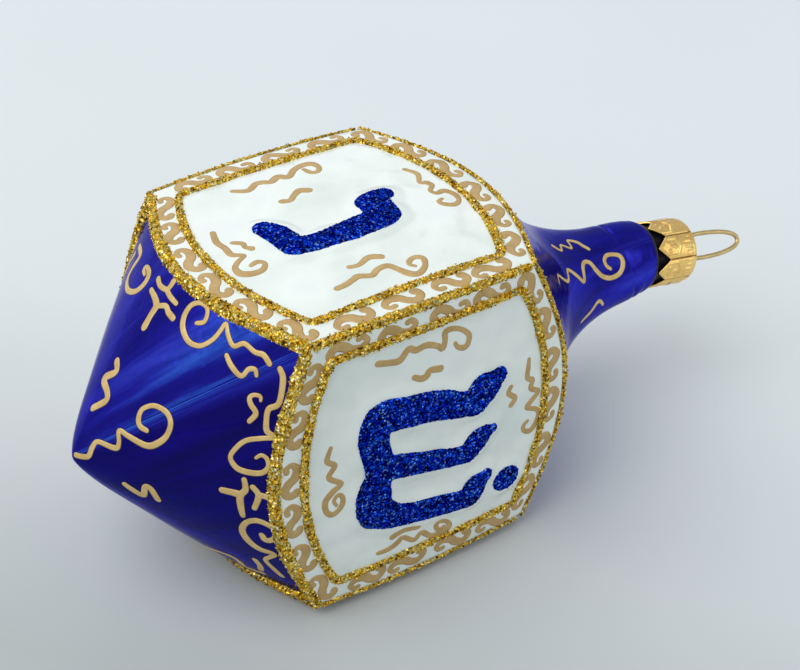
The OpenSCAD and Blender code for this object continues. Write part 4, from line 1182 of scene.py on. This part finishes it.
def coatLine():
    thick, stub, rim, bend = coat["thick"], neck["mouthRadius"], neck["rimU"], neck["rimRound"]
    corner, start = rimRadius - bend, rim - bend
    a = np.arange(coat["columns"]) / coat["columns"] * 2 * math.pi
    edge = np.radians(coat["start"] + 1.5 * np.sin(5 * a + 1) + 0.9 * np.sin(13 * a))  # a little uneven

    def arc(b, r):
        return (start + r * np.sin(b), corner + r * np.cos(b))

    line = [arc(edge, bend - 0.05), arc(edge + 0.03, bend + thick * 0.6), arc(edge + 0.1, bend + thick)]
    line += [arc(math.radians(b), bend + thick) for b in np.linspace(52, 90, 6)]
    line += [(rim + thick, stub + thick + 0.2), (rim + thick + 0.15, stub + thick),
             (coat["end"] - 0.2, stub + thick), (coat["end"] - 0.02, stub + thick - 0.05),
             (coat["end"], stub - 0.1), (rim - 0.2, stub - 0.1), (rim - 0.2, corner), arc(edge, bend - 0.5)]
    return line


rows = spun(coatLine(), coat["columns"])
faces = gridFaces(len(rows), coat["columns"], closed=True, closedRows=True)
addPiece("mouthCoat", rows.reshape(-1, 3), [tuple(reversed(f)) for f in faces], "ornament",
         [finishes["dark"]], ["mouth_coat"])


def stamping(across, high):
    # How far the sheet is pressed out: across runs from -1 to 1 over a lobe, high is millimetres above
    # its tip. Each lobe has a six-sided panel with a flower in it, and ribs from there to the top
    x = across * cap["radius"] * math.pi / cap["lobes"]
    side = np.abs(x)
    toTop = cap["top"] - cap["low"] - cap["edgeRound"] - high
    above = 1 - smoothStep(0.0, 0.8, 0.9 - toTop)
    gap = np.maximum(np.maximum(side - 1.85, (2.1 * side - 2.0 * high) / 2.9),
                     (side + 2 * (high - 5.2)) / 2.236)
    panel = 0.15 * np.exp(-((gap + 0.3) / 0.16) ** 2) - 0.07 * smoothStep(0.35, 0.6, -gap)
    y = high - 2.75
    r, a = np.hypot(x, y * 0.9), np.arctan2(y, x)
    petals = 0.2 * np.exp(-((r - 0.75) / 0.42) ** 2) * np.maximum(np.cos(3 * a + math.pi / 2), 0) ** 1.2
    inside = smoothStep(0.3, 0.5, -gap)
    flower = (petals + 0.14 * np.exp(-(r / 0.22) ** 2)) * inside
    rib = 0.11 * np.exp(-(side / 0.2) ** 2) * smoothStep(5.1, 5.5, high) * above
    pleats = 0.06 * np.cos(side * 2 * math.pi / 0.9 + 0.6) * smoothStep(5.3, 6.0, high - side * 0.5)
    pleats = pleats * (side < 1.85) * above
    pastNotch = smoothStep(cap["notch"] - 0.2, cap["notch"] + 0.3, high)
    crease = -0.22 * np.exp(-((1 - np.abs(across)) / 0.06) ** 2) * pastNotch * above
    bow = 0.1 * (1 - across ** 2) * above
    return crease + panel + flower + rib + pleats + bow


def foldShading(across, high):  # painted shade: darker in the folds between the lobes and in the hollows round the flower
    x = across * cap["radius"] * math.pi / cap["lobes"]
    pastNotch = smoothStep(cap["notch"] - 0.3, cap["notch"] + 0.2, high)
    fold = np.exp(-((1 - np.abs(across)) / 0.05) ** 2) * pastNotch
    hollow = np.clip(-stamping(across, high) * 5, 0, 1) * (np.abs(x) < 1.6) * (high < 5)
    return np.clip(fold + 0.6 * hollow, 0, 1)


def capSheet():
    count = cap["lobes"] * cap["perLobe"]
    lobe = np.arange(count) / cap["perLobe"]
    a = np.radians(cap["turn"] + (lobe - 0.5) * 360 / cap["lobes"])
    across = 2 * (lobe % 1) - 1  # from one notch to the next
    edge = cap["low"] + cap["notch"] * np.abs(across) ** 1.05
    sideTop = cap["top"] - cap["edgeRound"]
    layers = []
    for sheet in (0, cap["sheet"]):
        rows = []
        for b in np.linspace(90, 15, 6):  # the rounded edge of the top
            r = cap["radius"] - cap["edgeRound"] + (cap["edgeRound"] - sheet) * cosd(b)
            u = sideTop + (cap["edgeRound"] - sheet) * sind(b)
            flute = -0.09 * np.exp(-((1 - np.abs(across)) / 0.1) ** 2) * cosd(b)
            rows.append(np.stack([np.full(count, u), (r + flute) * np.cos(a), (r + flute) * np.sin(a)], -1))
        for share in np.linspace(0, 1, cap["rows"]):
            u = sideTop + (edge - sideTop) * share
            r = cap["radius"] - sheet + stamping(across, u - cap["low"])
            rows.append(np.stack([u, r * np.cos(a), r * np.sin(a)], -1))
        layers.append(np.array(rows))
    outer, inner = layers
    rows = np.concatenate([outer, inner[::-1]])
    sheetPoints, sheetFaces = rows.reshape(-1, 3), gridFaces(len(rows), count, closed=True)
    # the flat top, with its two holes for the wire
    top = outer[0][:, 1:]
    holes = []
    for side in (-1, 1):
        b = np.radians(np.arange(0, 360, 360 // cap["holeSteps"]))
        middle = np.array([-sind(wire["turn"]), cosd(wire["turn"])]) * side * wire["leg"]
        holes.append(middle + (wire["radius"] + cap["holeClear"]) * np.stack([np.cos(b), np.sin(b)], -1))
    loops = [top, *holes]
    loose, ties, start = [Vector(p) for p in np.concatenate(loops)], [], 0
    for loop in loops:
        ties += [(start + i, start + (i + 1) % len(loop)) for i in range(len(loop))]
        start += len(loop)
    made = delaunay_2d_cdt(loose, ties, [], 0, 1e-7)
    flat = np.array([list(v) for v in made[0]])
    triangles = [t for t in made[2] if not insideAny(flat[list(t)].mean(0)[None], holes)[0]]
    parts = [(sheetPoints, sheetFaces)]
    for u, way in ((cap["top"], 1), (cap["top"] - cap["sheet"], -1)):
        disc = np.concatenate([np.full((len(flat), 1), u), flat], 1)
        parts.append((disc, [tuple(t) if way > 0 else tuple(reversed(t)) for t in triangles]))
    for hole in holes:
        n = len(hole)
        wall = np.concatenate([np.concatenate([np.full((n, 1), u), hole], 1)
                               for u in (cap["top"], cap["top"] - cap["sheet"])])
        parts.append((wall, [(i, (i + 1) % n, n + (i + 1) % n, n + i) for i in range(n)]))
    return joined(parts)


points, faces = capSheet()
capPiece = addPiece("crownCap", atMouth(points), faces, "cap", [finishes["cap"]], ["crown_cap"])
# painted shade in the folds and hollows of the cap
foldShade = capPiece.data.attributes.new("foldShade", "FLOAT", "POINT")
lobe = ((np.degrees(np.arctan2(points[:, 2], points[:, 1])) - cap["turn"]) / 360 * cap["lobes"] + 0.5) % 1
onSkirt = np.hypot(points[:, 1], points[:, 2]) > cap["radius"] - cap["sheet"] / 2 - 0.25
foldShade.data.foreach_set("value", foldShading(lobe * 2 - 1, points[:, 0] - cap["low"]) * onSkirt)


def weld(piece, reach):  # closes the seams between parts that were made apart
    work = bmesh.new()
    work.from_mesh(piece.data)
    bmesh.ops.remove_doubles(work, verts=work.verts, dist=reach)
    bmesh.ops.recalc_face_normals(work, faces=work.faces)
    work.to_mesh(piece.data)
    work.free()


weld(capPiece, 2e-6)


def wirePath():
    leg, half = wire["leg"], []
    a = np.radians(np.linspace(wire["splay"], 0, 8))
    bend = [(wire["splayU"] - wire["bendRadius"] * math.sin(b),
             leg + wire["bendRadius"] * (1 - math.cos(b))) for b in a]
    foot = (bend[0][0] - wire["splayLength"] * cosd(wire["splay"]),
            bend[0][1] + wire["splayLength"] * sind(wire["splay"]))
    half += [foot, ((foot[0] + bend[0][0]) / 2, (foot[1] + bend[0][1]) / 2)] + bend
    top, far = cap["top"], wire["loopU"] + leg
    half += [(u, leg) for u in np.linspace(wire["splayU"], top, 12)[1:]]
    stretch = (top, wire["widestU"] + wire["bowEase"])  # the loop bows out a little above the cap
    for u in np.linspace(top, wire["widestU"], 9)[1:]:
        bow = (wire["widest"] - leg) * smoothStep(*stretch, u) / smoothStep(*stretch, wire["widestU"])
        half.append((u, leg + bow))
    blunt = wire["blunt"]  # 1 would end the loop as an ellipse, less ends it rounder
    half += [(wire["widestU"] + (far - wire["widestU"]) * sind(b) ** blunt,
              wire["widest"] * max(cosd(b), 0) ** blunt) for b in np.linspace(0, 90, 26)[1:]]
    whole = half + [(u, -v) for u, v in reversed(half[:-1])]
    return np.array([(u, 0, v) for u, v in whole])


def tube(path, radius, around):
    p = np.asarray(path, float)
    ahead = unit(np.gradient(p, axis=0))
    side = np.broadcast_to(np.array([0.0, 1, 0]), p.shape)
    up = unit(np.cross(ahead, side))
    rows = []
    for a in np.arange(around) / around * 2 * math.pi:
        rows.append(p + (side * math.cos(a) + up * math.sin(a)) * radius)
    points = np.stack(rows, 1)
    count = len(p)
    faces = gridFaces(count, around, closed=True)
    faces += [tuple(range(around)), tuple(reversed(range((count - 1) * around, count * around)))]
    return points.reshape(-1, 3), faces


points, faces = tube(wirePath(), wire["radius"], wire["round"])
wirePiece = addPiece("wireHanger", atMouth(turned(points, wire["turn"])), faces, "hanger",
                     [finishes["wire"]], ["wire_hanger"])
weld(wirePiece, 1e-7)
print("cap and wire made")

# Floor and soft studio light. Each lamp is (name, place, size, power, colour)
studio = {"floorSize": 3.0, "worldColour": srgb(216, 220, 226), "worldStrength": 0.75,
          "lamps": [("keyLamp", (-0.55, 0.0, 0.85), 1.1, 6.6, (1.0, 0.99, 0.96)),
                    ("fillLamp", (0.5, -0.9, 0.5), 1.0, 1.8, (0.95, 0.97, 1.0)),
                    ("backLamp", (0.1, 0.8, 0.6), 1.1, 1.8, (0.97, 0.98, 1.0))]}


def floorCloth():
    f = Finish("floorCloth")
    where = f.place()
    broad = f.noise(where, 0.004, detail=2)
    across = f.add("ShaderNodeVectorMath", {0: where, 1: (0.78, 0.63, 0)}, operation="DOT_PRODUCT")
    far = f.span(across.outputs["Value"], 0.0, 1.0, -65, 165)  # painted shade: the cloth darkens towards the near left, where the light falls off
    shade = f.ramp(far, [(0.0, srgb(174, 181, 180)), (0.18, srgb(204, 209, 211)),
                         (0.38, srgb(217, 223, 224)), (1.0, srgb(223, 230, 231))])
    shade = f.mix(f.span(broad, 0.0, 0.25, 0.3, 0.7), shade, srgb(196, 202, 204))
    f.give(color=shade, rough=0.9, specular=0.1)
    return f.material


mesh = bpy.data.meshes.new("floor")
half = studio["floorSize"] / 2
corners = [(-half, -half, 0), (half, -half, 0), (half, half, 0), (-half, half, 0)]
mesh.from_pydata(corners, [], [(0, 1, 2, 3)])
mesh.materials.append(floorCloth())
floor = bpy.data.objects.new("floor", mesh)
bpy.context.scene.collection.objects.link(floor)

for name, where, size, power, colour in studio["lamps"]:
    lamp = bpy.data.lights.new(name, "AREA")
    lamp.shape, lamp.size, lamp.energy, lamp.color = "DISK", size, power, colour
    holder = bpy.data.objects.new(name, lamp)
    holder.location = where
    holder.rotation_euler = (Vector((0, 0, 0.02)) - Vector(where)).to_track_quat("-Z", "Y").to_euler()
    bpy.context.scene.collection.objects.link(holder)

world = bpy.data.worlds.new("studio")
bpy.context.scene.world = world
world.use_nodes = True
world.node_tree.nodes["Background"].inputs["Color"].default_value = (*studio["worldColour"], 1)
world.node_tree.nodes["Background"].inputs["Strength"].default_value = studio["worldStrength"]
bpy.context.scene.view_settings.view_transform = "Standard"
print("lights set")
